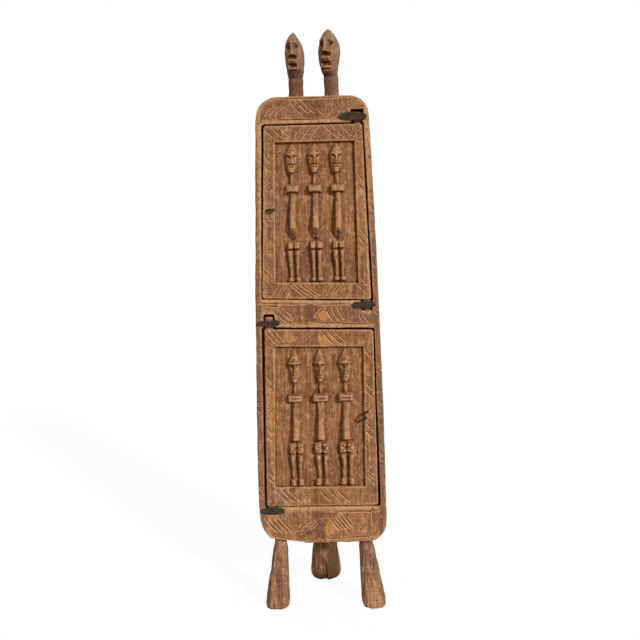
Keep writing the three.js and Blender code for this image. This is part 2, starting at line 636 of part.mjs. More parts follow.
// One standing figure in relief, its middle at x = 0 and the top of the recess at z = 0
function figure(spec) {
  const floor = RECESS_DEPTH;
  const low = floor + ROOT;
  const { faceHalf, capHalf, crown, brow, nose, mouth, chin, hipHigh, hipLow, footHigh, footLow } = spec;
  const skull = reliefForm([
    [-chin, faceHalf * 0.3, RELIEF.chin],
    [-chin + 2, faceHalf * 0.45, RELIEF.jaw],
    [-mouth, faceHalf * 0.8, RELIEF.jaw],
    [-nose - 1, faceHalf * 0.95, RELIEF.cheek],
    [-nose + 1, faceHalf, RELIEF.eye],
    [-brow - 1, faceHalf, RELIEF.eye],
    [-brow + 1, capHalf, RELIEF.cap],
    [-(brow + crown) / 2, capHalf * 0.68, (RELIEF.cap + RELIEF.crown) / 2 + 1.5],
    [-crown, 1.2, RELIEF.crown],
  ], FACE_ROUNDNESS);
  const noseRidge = sideSlab(
    [[low, -brow], [floor - RELIEF.cap, -brow], [floor - RELIEF.nose, -nose], [low, -nose]],
    0, NECK_HALF,
  );
  const throat = reliefBlock(-NECK_HALF, NECK_HALF, -spec.neckLow - ROOT, -chin + 2 * ROOT, RELIEF.neck);
  const shoulders = reliefBlock(-BAR_HALF, BAR_HALF, -spec.barLow, -spec.neckLow, RELIEF.bar);
  const chest = sideSlab(
    [
      [low, -spec.barLow + ROOT], [floor - RELIEF.chestHigh, -spec.barLow + ROOT],
      [floor - RELIEF.chestLow, -spec.chestLow], [floor - RELIEF.chestLow + 2, -spec.chestLow - 3],
      [low, -spec.chestEnd],
    ],
    0, 2 * CHEST_HALF,
  );
  const kneeZ = hipLow + (footHigh - hipLow) * 0.15;
  const halfLeg = (LEG_HALF - LEG_SPLIT / 2) / 2;
  const sides = [-1, 1].flatMap((side) => {
    const [from, to] = [side * (HIP_SPLIT / 2), side * HIP_HALF].sort((a, b) => a - b);
    const limb = sideSlab(
      [
        [low, -hipLow + ROOT], [floor - RELIEF.shin, -hipLow + ROOT], [floor - RELIEF.shin, -hipLow - 2],
        [floor - RELIEF.knee, -kneeZ], [floor - RELIEF.shin, -footHigh + 4], [floor - RELIEF.foot, -footHigh],
        [floor - RELIEF.foot, -footLow], [low, -footLow],
      ],
      side * (LEG_SPLIT / 2 + halfLeg), 2 * halfLeg,
    );
    return [reliefBlock(from, to, -hipLow, -hipHigh, RELIEF.hip), limb];
  });
  return joined([skull, noseRidge, throat, shoulders, chest, ...sides]);
}

// The raised frame round a door leaves a sunk panel
function recessCorners({ hinge, headHinge, headFree, sillFree, sillHinge }, frame) {
  return [
    [headHinge[0] - hinge * frame.hingeHigh, headHinge[1] - frame.head],
    [headFree[0] + hinge * frame.freeHigh, headFree[1] - frame.head],
    [sillFree[0] + hinge * frame.freeLow, sillFree[1] + frame.sill],
    [sillHinge[0] - hinge * frame.hingeLow, sillHinge[1] + frame.sill],
  ];
}

// The hinge edge is rounded so that it turns inside the pocket
function roundedEdge(axis, hinge, length) {
  const edge = hinge * PINTLE_FROM_EDGE;
  const far = -hinge * 2 * HALF_WIDTH_LOW;
  const front = -AXIS_Y;
  const back = DOOR_THICKNESS - AXIS_Y;
  const shape = new THREE.Shape();
  shape.moveTo(far, front);
  shape.lineTo(edge - hinge * HINGE_FRONT_RADIUS, front);
  shape.quadraticCurveTo(edge, front, edge, front + HINGE_FRONT_RADIUS);
  shape.lineTo(edge, back - HINGE_BACK_RADIUS);
  shape.quadraticCurveTo(edge, back, edge - hinge * HINGE_BACK_RADIUS, back);
  shape.lineTo(far, back);
  shape.closePath();
  const geometry = new THREE.ExtrudeGeometry(shape, {
    depth: 3 * length, bevelEnabled: false, curveSegments: 5,
  });
  geometry.translate(0, 0, -length);
  return solid(leaned(geometry, axis));
}

function pintle(axis, from, to) {
  const geometry = new THREE.CylinderGeometry(PINTLE_RADIUS, PINTLE_RADIUS, to - from, PINTLE_SIDES);
  geometry.rotateX(Math.PI / 2);
  geometry.translate(0, 0, (from + to) / 2);
  return solid(leaned(geometry, axis));
}

// Where a pull's two legs go into the frame of its door
function pullPlace(door, { rise, fromEdge }) {
  const [highX, highZ] = door.headFree;
  const [lowX, lowZ] = door.sillFree;
  const edge = lowX + ((highX - lowX) * rise) / (highZ - lowZ);
  return new THREE.Vector3(edge + door.hinge * fromEdge, 0, lowZ + rise);
}

function pullLegs(place, turn) {
  const angle = THREE.MathUtils.degToRad(turn);
  const reach = new THREE.Vector3(Math.sin(angle), 0, Math.cos(angle)).multiplyScalar(PULL_SPREAD / 2);
  return [place.clone().sub(reach), place.clone().add(reach)];
}

function pullHole(foot) {
  const radius = PULL_WIRE / 2 + IRON_GAP;
  const geometry = new THREE.CylinderGeometry(radius, radius, PULL_DEPTH + PAST + IRON_GAP, PULL_SIDES);
  geometry.translate(foot.x, (PULL_DEPTH - PAST + IRON_GAP) / 2, foot.z);
  return solid(geometry);
}

function door(corners, axis, frame, pintles, figureSpec, pull) {
  const length = axis.high.z - axis.low.z;
  const board = slab(cornerList(corners), 0, DOOR_THICKNESS, DOOR_CORNER_RADIUS);
  const plank = board.intersect(roundedEdge(axis, corners.hinge, length));
  const recess = recessCorners(corners, frame);
  const sunk = plank.subtract(slab(recess, -PAST, RECESS_DEPTH));
  const recessTop = Math.min(recess[0][1], recess[1][1]);
  const carved = figure(figureSpec);
  const figures = [-1, 0, 1].map((i) => {
    return carved.translate([figureSpec.shift + i * figureSpec.spacing, 0, recessTop]);
  });
  const overlap = DOOR_CORNER_RADIUS + ROOT;
  const lowPintle = pintle(axis, -pintles.low, overlap);
  const highPintle = pintle(axis, length - overlap, length + pintles.high);
  const place = pullPlace(corners, pull);
  const holes = pullLegs(place, pull.turn).map(pullHole);
  return joined([sunk, ...figures, lowPintle, highPintle]).subtract(joined(holes));
}

// A flat piece of iron with two prongs behind it
function staple({ x, z, prongs, outline }) {
  const shape = new THREE.Shape(outline.map(([right, up]) => new THREE.Vector2(x + right, z + up)));
  const geometry = new THREE.ExtrudeGeometry(shape, { depth: STAPLE_THICKNESS, bevelEnabled: false });
  return joined([standing(geometry, -IRON_GAP), ...prongs.map((place) => prong(place, z, 0))]);
}

// An iron rod bent to an eye that leans over, both ends driven into the door
function pullEye(corners, pull) {
  const place = pullPlace(corners, pull);
  const [first, second] = pullLegs(place, pull.turn);
  const at = (foot, y) => new THREE.Vector3(foot.x, y, foot.z);
  const crown = place.clone().setY((PULL_SPREAD + PULL_WIRE) / 2 - pull.proud);
  const across = second.clone().sub(first).normalize();
  const route = [at(first, PULL_DEPTH), at(first, PULL_DEPTH / 2), at(first, 0)];
  for (let i = 0; i <= BEND_STEPS; i++) {
    const angle = (Math.PI * i) / BEND_STEPS;
    const out = new THREE.Vector3(0, (-Math.sin(angle) * PULL_SPREAD) / 2, 0);
    route.push(crown.clone().addScaledVector(across, (-Math.cos(angle) * PULL_SPREAD) / 2).add(out));
  }
  route.push(at(second, 0), at(second, PULL_DEPTH / 2), at(second, PULL_DEPTH));
  for (const point of route) point.x += corners.hinge * pull.lean * Math.max(0, -point.y / pull.proud);
  const section = new THREE.Shape();
  section.absarc(0, 0, PULL_WIRE / 2, 0, 2 * Math.PI);
  const geometry = new THREE.ExtrudeGeometry(new THREE.Shape(section.getPoints(PULL_SIDES).slice(0, -1)), {
    steps: 3 * BEND_STEPS, bevelEnabled: false,
    extrudePath: new THREE.CatmullRomCurve3(route, false, "centripetal"),
  });
  return solid(geometry);
}

// Materials
function agedWood(color) {
  return new THREE.MeshStandardMaterial({ color, roughness: 0.72, metalness: 0 });
}

function forgedIron() {
  return new THREE.MeshStandardMaterial({ color: 0x4a423c, roughness: 0.62, metalness: 0.75 });
}

const wood = agedWood(0x9c7250);
const doorWood = agedWood(0xa87a52);
const iron = forgedIron();

const upperLeaf = door(upperDoor, upperAxis, UPPER_FRAME, UPPER_PINTLE, UPPER_FIGURE, UPPER_PULL);
const lowerLeaf = door(lowerDoor, lowerAxis, LOWER_FRAME, LOWER_PINTLE, LOWER_FIGURE, LOWER_PULL);

const cabinet = new THREE.Group();
cabinet.add(piece("carcass", carcass(), wood));
cabinet.add(piece("upper_door", upperLeaf, doorWood));
cabinet.add(piece("lower_door", lowerLeaf, doorWood));
for (const [name, spot] of Object.entries(stapleSpots)) cabinet.add(piece(name, staple(spot), iron));
cabinet.add(piece("upper_door_pull", pullEye(upperDoor, UPPER_PULL), iron));
cabinet.add(piece("lower_door_pull", pullEye(lowerDoor, LOWER_PULL), iron));

// The origin is the middle of the footprint, on the floor
const extent = new THREE.Box3().setFromObject(cabinet);
const centre = extent.getCenter(new THREE.Vector3());
cabinet.position.set(-centre.x, -centre.y, -extent.min.z);

// A door stops where its face meets the front edge of its stile
function widestOpening(gap) {
  const toStile = PINTLE_FROM_EDGE + Math.min(gap.hingeHigh, gap.hingeLow);
  return 180 - 2 * THREE.MathUtils.radToDeg(Math.atan2(AXIS_Y, toStile)) - STOP_MARGIN_DEG;
}

// Both hinges, for whoever animates the doors: a point, the direction to turn about, and the widest opening
cabinet.userData.hinges = {
  upper_door: {
    point: upperAxis.low, along: upperAxis.along, degrees: widestOpening(UPPER_GAP),
  },
  lower_door: {
    point: lowerAxis.low, along: lowerAxis.along.clone().negate(), degrees: widestOpening(LOWER_GAP),
  },
};

export default cabinet;
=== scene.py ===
"""Carved wooden box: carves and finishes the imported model. A Blender add-on that is run as a script."""

import itertools
import json
import math

import bmesh
import bpy
import numpy as np
from mathutils import Matrix, Vector


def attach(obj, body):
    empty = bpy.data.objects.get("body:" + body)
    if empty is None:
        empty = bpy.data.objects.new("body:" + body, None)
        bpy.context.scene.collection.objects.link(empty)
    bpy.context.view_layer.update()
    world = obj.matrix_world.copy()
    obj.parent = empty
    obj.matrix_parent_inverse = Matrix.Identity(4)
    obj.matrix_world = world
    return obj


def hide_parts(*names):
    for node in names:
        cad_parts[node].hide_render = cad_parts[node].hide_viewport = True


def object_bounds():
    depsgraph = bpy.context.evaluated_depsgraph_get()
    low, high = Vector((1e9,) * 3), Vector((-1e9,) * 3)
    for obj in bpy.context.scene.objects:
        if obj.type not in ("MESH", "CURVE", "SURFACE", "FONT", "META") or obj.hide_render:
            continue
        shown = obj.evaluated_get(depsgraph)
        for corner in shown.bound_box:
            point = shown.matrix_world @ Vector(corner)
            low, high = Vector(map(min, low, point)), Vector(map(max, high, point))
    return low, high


bl_info = {
    "name": "Carved Wooden Box",
    "version": (1, 0, 0),
    "blender": (4, 5, 0),
    "location": "View3D > Sidebar > Carved Box",
    "description": "Carves and finishes a wooden box with two relief doors round its loaded frame",
    "category": "Object",
}

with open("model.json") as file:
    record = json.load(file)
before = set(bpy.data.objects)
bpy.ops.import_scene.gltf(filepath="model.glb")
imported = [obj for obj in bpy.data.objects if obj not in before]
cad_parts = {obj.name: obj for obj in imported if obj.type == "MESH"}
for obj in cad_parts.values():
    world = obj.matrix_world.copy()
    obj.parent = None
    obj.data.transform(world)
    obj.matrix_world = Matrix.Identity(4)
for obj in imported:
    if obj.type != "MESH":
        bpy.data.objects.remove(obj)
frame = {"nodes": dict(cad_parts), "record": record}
cad_low, cad_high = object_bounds()

MM = 0.001
# The flat front of the box lies half a door's thickness before the doors' pintles
HALF_DOOR = 9.5
FRONT = frame["record"]["behaviour"]["joints"][0]["pos_m"][1] - HALF_DOOR * MM
TOP_OF_LEGS = 112.0
TOP_OF_LOG = 886.0
TOP_OF_NECKS = 930.0
# About half the width of the flat front, by height
EDGE_OF_FRONT = ((200, 108.0), (500, 104.5), (800, 99.0))
FLOOR_OF_RECESS = 7.0
# Every added form is rooted this deep in the wood that carries it
ROOT = 1.5
# Points this close are sewn together
SEWING_GAP = 0.01 * MM
# Incised lines: how far their ends lie off their place in mm, the steps in which they are swept, and how far
# the middle of their section stands off the front
LINE_JITTER = 0.7
LINE_STEP = 3 * MM
LINE_LIFT = 0.2 * MM
# Where tools that cut from the front start, in mm behind it
CLEAR_OF_FRONT, CLEAR_OF_FIGURES = -6.0, -20.0
# Rounds of smoothing against which close and wide hollows are measured
CLOSE_ROUNDS, WIDE_ROUNDS = 4, 24
# Edges sharper than this stay sharp in the shading, in degrees
WOOD_EDGE, IRON_EDGE = 31.0, 60.0
WHITE = (1.0, 1.0, 1.0)
# The way from the box to the lamp, and how wide the lamp looks from there
TO_LAMP = (0.65, -1.0, 0.5)
LAMP_SPREAD = math.radians(4)

# Heads: heights in mm over the chin. At a height, outline gives the half width, middle the x of the middle,
# front and back the reach from the neck's axis, and face how far lips and mouth stand out or go in
HEAD_SETBACK = 70.0
NECK_RADIUS = 13.8
NECK_ROOT = 8.0
NECK_IN_HEAD = 14.0
LEFT_HEAD = dict(
    neck_x=-29.0, neck=43.0, turn=math.radians(-13), nose=41.5, brow=66.0, eye=7.6, lips=9.4,
    outline=((0, 12.8), (8, 14.4), (19, 16.2), (29, 17.6), (50, 17.8), (61, 16.1), (71, 12.2), (82, 6.2),
             (88, 0.8)),
    middle=((0, -27.8), (29, -28.4), (50, -29.4), (71, -31.2), (88, -31.8)),
    front=((0, 11.5), (3, 14.8), (9, 17.6), (16, 20.5), (22, 20.0), (36, 18.5), (58, 18.0), (68, 18.0),
           (77, 13.0), (88, 0.8)),
    back=((0, 12.0), (20, 15.0), (48, 18.0), (68, 14.0), (82, 6.5), (88, 0.8)),
    face=((14, 0), (15.5, 2.6), (18.0, 2.8), (19.4, -4), (24.8, -8), (25.6, -7.5), (26.6, 1), (32, 4.2),
          (34, 3.2), (35, -5), (40.5, -5.5), (41.5, 0)),
)
RIGHT_HEAD = dict(
    neck_x=36.6, neck=46.0, turn=math.radians(-23), nose=42.6, brow=66.0, eye=8.6, lips=10.4,
    outline=((0, 11.6), (5, 12.8), (16, 15.6), (26, 18.2), (37, 19.4), (47, 20.4), (58, 19.3), (68, 16.4),
             (79, 10.8), (86, 5.0), (88.5, 1.5)),
    middle=((0, 35.8), (10, 34.2), (26, 33.6), (58, 33.8), (88.5, 32.6)),
    front=((0, 12.0), (2.5, 16.0), (8, 19.5), (14, 21.5), (22, 21.5), (38, 20.5), (58, 19.5), (68, 19.0),
           (79, 13.0), (86, 6.0), (88.5, 1.5)),
    back=((0, 12.0), (20, 16.0), (48, 20.0), (68, 17.0), (80, 10.0), (88.5, 1.5)),
    face=((9, 0), (11, -0.8), (12.4, -0.6), (13.8, 3.0), (17.4, 3.0), (18.8, -4), (24.2, -8), (25.2, -7.5),
          (26.4, 0.5), (32.4, 4.4), (34.4, 3.6), (35.5, -5), (41.5, -5.5), (42.6, 0)),
)

# Recesses of the doors: corners in x and z, clockwise from the top left
UPPER_RECESS = ((-66.0, 806.5), (71.5, 806.5), (72.5, 561.0), (-71.0, 564.5))
LOWER_RECESS = ((-75.0, 453.5), (77.5, 450.5), (75.0, 208.5), (-81.0, 211.5))

# Figures in relief: heights in mm down from the top of the recess, then half widths and how far forms stand
# out of the panel
UPPER_FIGURES = dict(
    top=805.4, spacing=39.0, shift=1.2, crown=2.4, brow=20.6, nose=37.4, mouth=41.6, chin=53.4, neck_low=72.4,
    bar_low=86.0, chest_low=148.4, chest_end=168.0, hip_high=171.0, hip_low=183.6, foot_high=233.4,
    foot_low=239.6, cap_half=11.8, face_half=11.6, cheek=13.0, shelf=5.4, brim=0.0, bar_half=11.8,
    chest_top=5.4, chest_half=6.4, hip_half=5.2, leg_half=4.5, ankle_half=3.0, leg_across=5.9, bar_groove=0.0,
)
LOWER_FIGURES = dict(
    top=451.0, spacing=43.4, shift=1.4, crown=4.0, brow=28.0, nose=47.0, mouth=51.0, chin=60.0, neck_low=79.5,
    bar_low=93.5, chest_low=158.0, chest_end=163.0, hip_high=164.5, hip_low=182.0, foot_high=227.0,
    foot_low=237.6, cap_half=11.6, face_half=9.2, cheek=11.4, shelf=1.0, brim=1.6, bar_half=13.4,
    chest_top=6.4, chest_half=7.2, hip_half=5.9, leg_half=5.0, ankle_half=3.8, leg_across=6.6, bar_groove=2.6,
)

# Cuts in the rails: low and high corner of each in x and z, and how deep it goes
RAIL_CUTS = (
    ((66.5, 846.0), (89.0, 861.0), 17.0),
    ((74.6, 511.5), (76.8, 518.5), 4.0),
    ((92.4, 511.0), (94.8, 518.5), 4.0),
)
# The crack in the back leg: where it lies, its half width, how far it runs up, and where its sides and its
# bottom lie behind the front
LEG_CRACK = dict(across=3.6, half=1.8, high=46.0, start=96.0, deep=130.0)


class Rough:
    """Smooth random heights on a repeating lattice, from -1 to 1 and the same for the same seed."""

    LATTICE = 32

    def __init__(self, seed):
        self.heights = np.random.default_rng(seed).uniform(-1.0, 1.0, (self.LATTICE,) * 3)

    def __call__(self, points, *size):
        place = points / np.array(size)
        cell = np.floor(place).astype(int)
        part = place - cell
        part = part * part * (3.0 - 2.0 * part)
        total = np.zeros(len(points))
        for corner in itertools.product((0, 1), repeat=3):
            weight = np.prod(np.where(np.array(corner) == 1, part, 1.0 - part), axis=1)
            i, j, k = ((cell + corner) % self.LATTICE).T
            total += weight * self.heights[i, j, k]
        return total


def ease(value, low, high):
    """Smooth rise from 0 at low to 1 at high."""
    share = np.clip((value - low) / (high - low), 0.0, 1.0)
    return share * share * (3.0 - 2.0 * share)


def hump(distance, reach):
    """A smooth hump of height 1 that has faded at the given reach."""
    return np.exp(-((distance / reach) ** 2) * 2.0)


def loft(rings):
    """A closed skin through rings of equally many points."""
    rings = np.asarray(rings, float)
    levels, count = rings.shape[:2]
    faces = []
    for level in range(levels - 1):
        for i in range(count):
            a = level * count + i
            b = level * count + (i + 1) % count
            faces.append((a, b, b + count, a + count))
    faces.append(tuple(range(count))[::-1])
    faces.append(tuple(range((levels - 1) * count, levels * count)))
    return rings.reshape(-1, 3), faces


def mesh_from(bm, name):
    """The mesh that a bmesh holds."""
    mesh = bpy.data.meshes.new(name)
    bm.to_mesh(mesh)
    bm.free()
    return mesh


def mesh_of(shapes):
    """One mesh from shapes given in mm behind the front, their faces turned outwards."""
    bm = bmesh.new()
    for points, faces in shapes:
        made = [bm.verts.new((x * MM, y * MM + FRONT, z * MM)) for x, y, z in points]
        for face in faces:
            bm.faces.new([made[i] for i in face])
    bmesh.ops.recalc_face_normals(bm, faces=bm.faces)
    return mesh_from(bm, "carving")


def copy_of(node):
    """A copy of a node's mesh with its loose triangles sewn together."""
    bm = bmesh.new()
    bm.from_mesh(frame["nodes"][node].data)
    bmesh.ops.remove_doubles(bm, verts=bm.verts, dist=SEWING_GAP)
    return mesh_from(bm, node)


def cut_above(mesh, height):
    """Takes off all that stands higher, and closes what that opens."""
    bm = bmesh.new()
    bm.from_mesh(mesh)
    everything = bm.verts[:] + bm.edges[:] + bm.faces[:]
    bmesh.ops.bisect_plane(
        bm, geom=everything, plane_co=(0, 0, height * MM), plane_no=(0, 0, 1), clear_outer=True,
    )
    bmesh.ops.holes_fill(bm, edges=[edge for edge in bm.edges if edge.is_boundary], sides=0)
    return mesh_from(bm, "log")


def together(*meshes):
    bm = bmesh.new()
    for mesh in meshes:
        bm.from_mesh(mesh)
    return mesh_from(bm, "together")


def linked(name, data):
    """A new object in the scene."""
    made = bpy.data.objects.new(name, data)
    bpy.context.scene.collection.objects.link(made)
    return made


def off_bench(holder):
    """The mesh that an object's modifiers make; the object itself goes."""
    evaluated = holder.evaluated_get(bpy.context.evaluated_depsgraph_get())
    done = bpy.data.meshes.new_from_object(evaluated)
    bpy.data.objects.remove(holder)
    return done


def worked(mesh, kind, **settings):
    """The mesh that one modifier makes of a mesh."""
    holder = linked("bench", mesh)
    modifier = holder.modifiers.new(kind, kind)
    for name, value in settings.items():
        setattr(modifier, name, value)
    return off_bench(holder)


def remeshed(mesh, voxel):
    return worked(mesh, "REMESH", mode="VOXEL", voxel_size=voxel, use_smooth_shade=True)


def thinned(mesh, triangles, spare):
    """Fewer faces down to about so many triangles, taken first where spare is 1 and last where it is 0."""
    have = sum(len(face.vertices) - 2 for face in mesh.polygons)
    if have <= triangles:
        return mesh
    holder = linked("bench", mesh)
    group = holder.vertex_groups.new(name="spare")
    for weight in (0.0, 0.5, 1.0):
        group.add(np.flatnonzero(spare == weight).tolist(), weight, "REPLACE")
    modifier = holder.modifiers.new("thin", "DECIMATE")
    modifier.ratio = triangles / have
    modifier.vertex_group = group.name
    modifier.vertex_group_factor = 1.0
    return off_bench(holder)


def cut(mesh, tool, operation="DIFFERENCE"):
    """A boolean of two closed meshes."""
    holder = linked("bench", tool)
    done = worked(mesh, "BOOLEAN", operation=operation, object=holder, solver="MANIFOLD")
    bpy.data.objects.remove(holder)
    return done


def rows(items, name):
    """One vector of each item, as rows of three."""
    values = np.empty(len(items) * 3)
    items.foreach_get(name, values)
    return values.reshape(-1, 3)


def points_of(mesh):
    """Points in mm behind the front, and the directions that they face."""
    points = rows(mesh.vertices, "co") / MM
    points[:, 1] -= FRONT / MM
    return points, rows(mesh.vertex_normals, "vector")


def put_points(mesh, points):
    placed_points = points.copy()
    placed_points[:, 1] += FRONT / MM
    mesh.vertices.foreach_set("co", (placed_points * MM).ravel())
    mesh.update()


def sunk(points, facing, depth):
    """Points moved into the wood, against the way that they face."""
    return points - facing * depth[:, None]


def hollowness(mesh, rounds):
    """How far each point lies below the middle of its surroundings, in mm."""
    points, facing = points_of(mesh)
    edges = np.empty(len(mesh.edges) * 2, int)
    mesh.edges.foreach_get("vertices", edges)
    a, b = edges.reshape(-1, 2).T
    count = len(points)
    ties = np.maximum(np.bincount(a, minlength=count) + np.bincount(b, minlength=count), 1)
    smooth = points.copy()
    for _ in range(rounds):
        for axis in range(3):
            ahead = np.bincount(a, weights=smooth[b, axis], minlength=count)
            behind = np.bincount(b, weights=smooth[a, axis], minlength=count)
            smooth[:, axis] = (ahead + behind) / ties
    return ((smooth - points) * facing).sum(axis=1)


def keep_value(mesh, name, values):
    """Stores one number for each point, for the materials to read."""
    attribute = mesh.attributes.new(name, "FLOAT", "POINT")
    attribute.data.foreach_set("value", np.asarray(values, np.float32))


def keep_inside(mesh):
    """Presses back what tool marks and thinning have pushed out of the model's box."""
    inside = np.clip(rows(mesh.vertices, "co"), np.array(cad_low), np.array(cad_high))
    mesh.vertices.foreach_set("co", inside.ravel())
    mesh.update()


def shaded(mesh, sharp_degrees):
    """Smooth shading that breaks at sharp edges."""
    mesh.polygons.foreach_set("use_smooth", np.ones(len(mesh.polygons), bool))
    mesh.set_sharp_from_angle(angle=math.radians(sharp_degrees))


def placed(name, mesh, look, body, slot, *nodes):
    """Puts a finished piece in the scene: it rides on a body and stands for CAD nodes."""
    keep_inside(mesh)
    mesh.name = name
    mesh.materials.clear()
    mesh.materials.append(look)
    mesh.polygons.foreach_set("material_index", np.zeros(len(mesh.polygons), int))
    piece = linked(name, mesh)
    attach(piece, body)
    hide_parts(*nodes)


# Incised lines: x and z of each of their points in turn, in mm on the front
def ladder(first, last, count):
    """Lines evenly spread from a first to a last one."""
    return [tuple(a + (b - a) * i / (count - 1) for a, b in zip(first, last)) for i in range(count)]


CARCASS_LINES = [
    # borders of the top rail
    (-93, 866, -86, 874, -75, 880, -62, 882, -40, 881.5, 0, 881.5, 30, 882.5, 56, 883.5, 72, 880.5, 84, 873.5,
     92, 864),
    (-90, 846, -60, 845.5, 0, 845, 44, 847.5), (-100, 839.5, -89, 839.5),
    # top rail
    *ladder((-84, 850, -64, 868), (-66, 849, -38, 873), 3),
    *ladder((-39, 877, -14, 852), (-19, 880, 6, 855), 3), (7, 865, 24, 850), (28, 850, 54, 871),
    *ladder((44, 854, 68, 876), (60, 860, 82, 872), 3),
    # right stile
    (95, 801, 101, 788), (93, 783, 102, 769), (95, 709, 104, 696), (95, 695, 104, 681), (96, 637, 104, 651),
    (95, 619, 105, 603), (95, 603, 105, 584), (98, 522, 107, 509), (99, 512, 107, 500), (100, 422, 108, 410),
    (99, 411, 108, 397), (100, 359, 109, 346), (100, 347, 109, 332), (101, 269, 110, 257),
    (100, 259, 110, 246),
    # left stile
    (-105, 734, -97, 723), (-105, 718, -98, 707), (-106, 649, -98, 638), (-106, 588, -98, 595),
    (-105, 572, -98, 581), (-109, 450, -101, 437), (-109, 435, -101, 422), (-110, 363, -102, 350),
    (-111, 350, -103, 338), (-111, 273, -102, 261), (-111, 262, -103, 250), (-111, 216, -102, 203),
    (-111, 203, -102, 190), (-108, 290, -100, 283),
    # middle rail
    (-107, 529, -60, 528, -16, 526), (-8, 526, 20, 524.5, 58, 525), (-92, 524.5, -62, 523),
    (-20, 495, 0, 494, 30, 492.5, 60, 490.5, 103, 489),
    *ladder((-80, 518, -48, 492), (-60, 522, -34, 500), 3), (-45, 496, -31, 508), (-8, 502, 13, 521),
    *ladder((13, 521, 27, 496), (33, 521, 47, 496), 3), (71, 507, 80, 492), (78, 509, 90, 491),
    # bottom rail
    (8, 166.5, 50, 166, 102, 165.5), (86, 174, 85.5, 150, 86, 138),
    *ladder((-102, 160, -79, 132), (-77, 159, -49, 129), 4), (-50, 129, -18, 158), (-43, 126, -11, 155),
    (-23, 136, -8, 150), (-4, 150, 10, 163), *ladder((9, 158, 31, 132), (32, 164, 54, 136), 5),
    (38, 136, 50, 122), (60, 129, 79, 149), (-98, 132, -84, 125, -60, 121.5, -16, 119),
    (0, 119, 30, 119, 52, 121, 83, 122, 98, 127),
]
UPPER_LINES = [
    *ladder((-85, 833, -62, 810), (-60, 835, -35, 813), 3),
    *ladder((18, 835, 47, 810), (48, 836, 70, 813), 3), (68, 825, 80, 836), (71, 811, 89, 831),
    (76, 810, 89, 822), (-88, 808, -70, 808), (73, 808, 91, 807.5),
    *ladder((-32, 812, -12, 832), (-4, 811, 14, 833), 3), (-86, 785, -71, 769), (-88, 772, -71, 754),
    (-86, 729, -72, 738), (-84, 722, -73, 729), (-82, 681, -72, 669), (-90, 676, -74, 659),
    (-92, 595, -76, 579), (-93, 584, -75, 567), (77, 779, 89, 796), (75, 749, 90, 731), (74, 732, 90, 719),
    (79, 690, 90, 705), (82, 680, 90, 690), (75, 656, 90, 638), (75, 641, 91, 621), (76, 592, 84, 602),
    *ladder((73, 572, 91, 553), (66, 563, 89, 540), 2), (-76, 543, -61, 560), (-69, 540, -50, 562),
    *ladder((-49, 563, -13, 535), (-22, 561, 8, 540), 4), *ladder((8, 539, 24, 557), (31, 538, 51, 561), 4),
]
LOWER_LINES = [
    *ladder((-94, 486, -72, 456), (-76, 486, -57, 461), 3), (-42, 463, -15, 482), (-38, 457, -5, 480),
    *ladder((3, 481, 29, 453), (26, 481, 49, 457), 3), (-90, 454, -78, 454),
    *ladder((-92, 440, -79, 447), (-91, 422, -81, 428), 4), (-93, 405, -79, 390), (-94, 392, -79, 377),
    *ladder((-94, 350, -80, 359), (-92, 338, -80, 346), 3), (-96, 318, -80, 301), (-96, 303, -81, 290),
    (-96, 241, -83, 229), (-96, 230, -81, 218), (84, 452, 93, 441), (78, 445, 93, 429), (86, 399, 93, 408),
    (79, 390, 93, 374), (79, 377, 93, 360), (80, 338, 92, 349), (80, 327, 92, 340), (78, 320, 93, 303),
    (78, 306, 93, 291), (82, 271, 91, 281), (84, 253, 93, 267),
    *ladder((79, 240, 92, 228), (79, 226, 91, 212), 3),
    *ladder((-82, 209, -58, 183), (-61, 208, -34, 183), 3),
    *ladder((-3, 203, 18, 183), (22, 207, 50, 181), 3), (-31, 185, -16, 198),
]


def line_paths(lines, seed):
    """Lines as loose edges on the ground, x along X and z along Y, with slightly uneven ends."""
    rng = np.random.default_rng(seed)
    bm = bmesh.new()
    for line in lines:
        made = []
        for x, z in zip(line[::2], line[1::2]):
            dx, dz = rng.uniform(-LINE_JITTER, LINE_JITTER, 2)
            made.append(bm.verts.new(((x + dx) * MM, (z + dz) * MM, 0)))
        for a, b in itertools.pairwise(made):
            bm.edges.new((a, b))
    return mesh_from(bm, "lines")


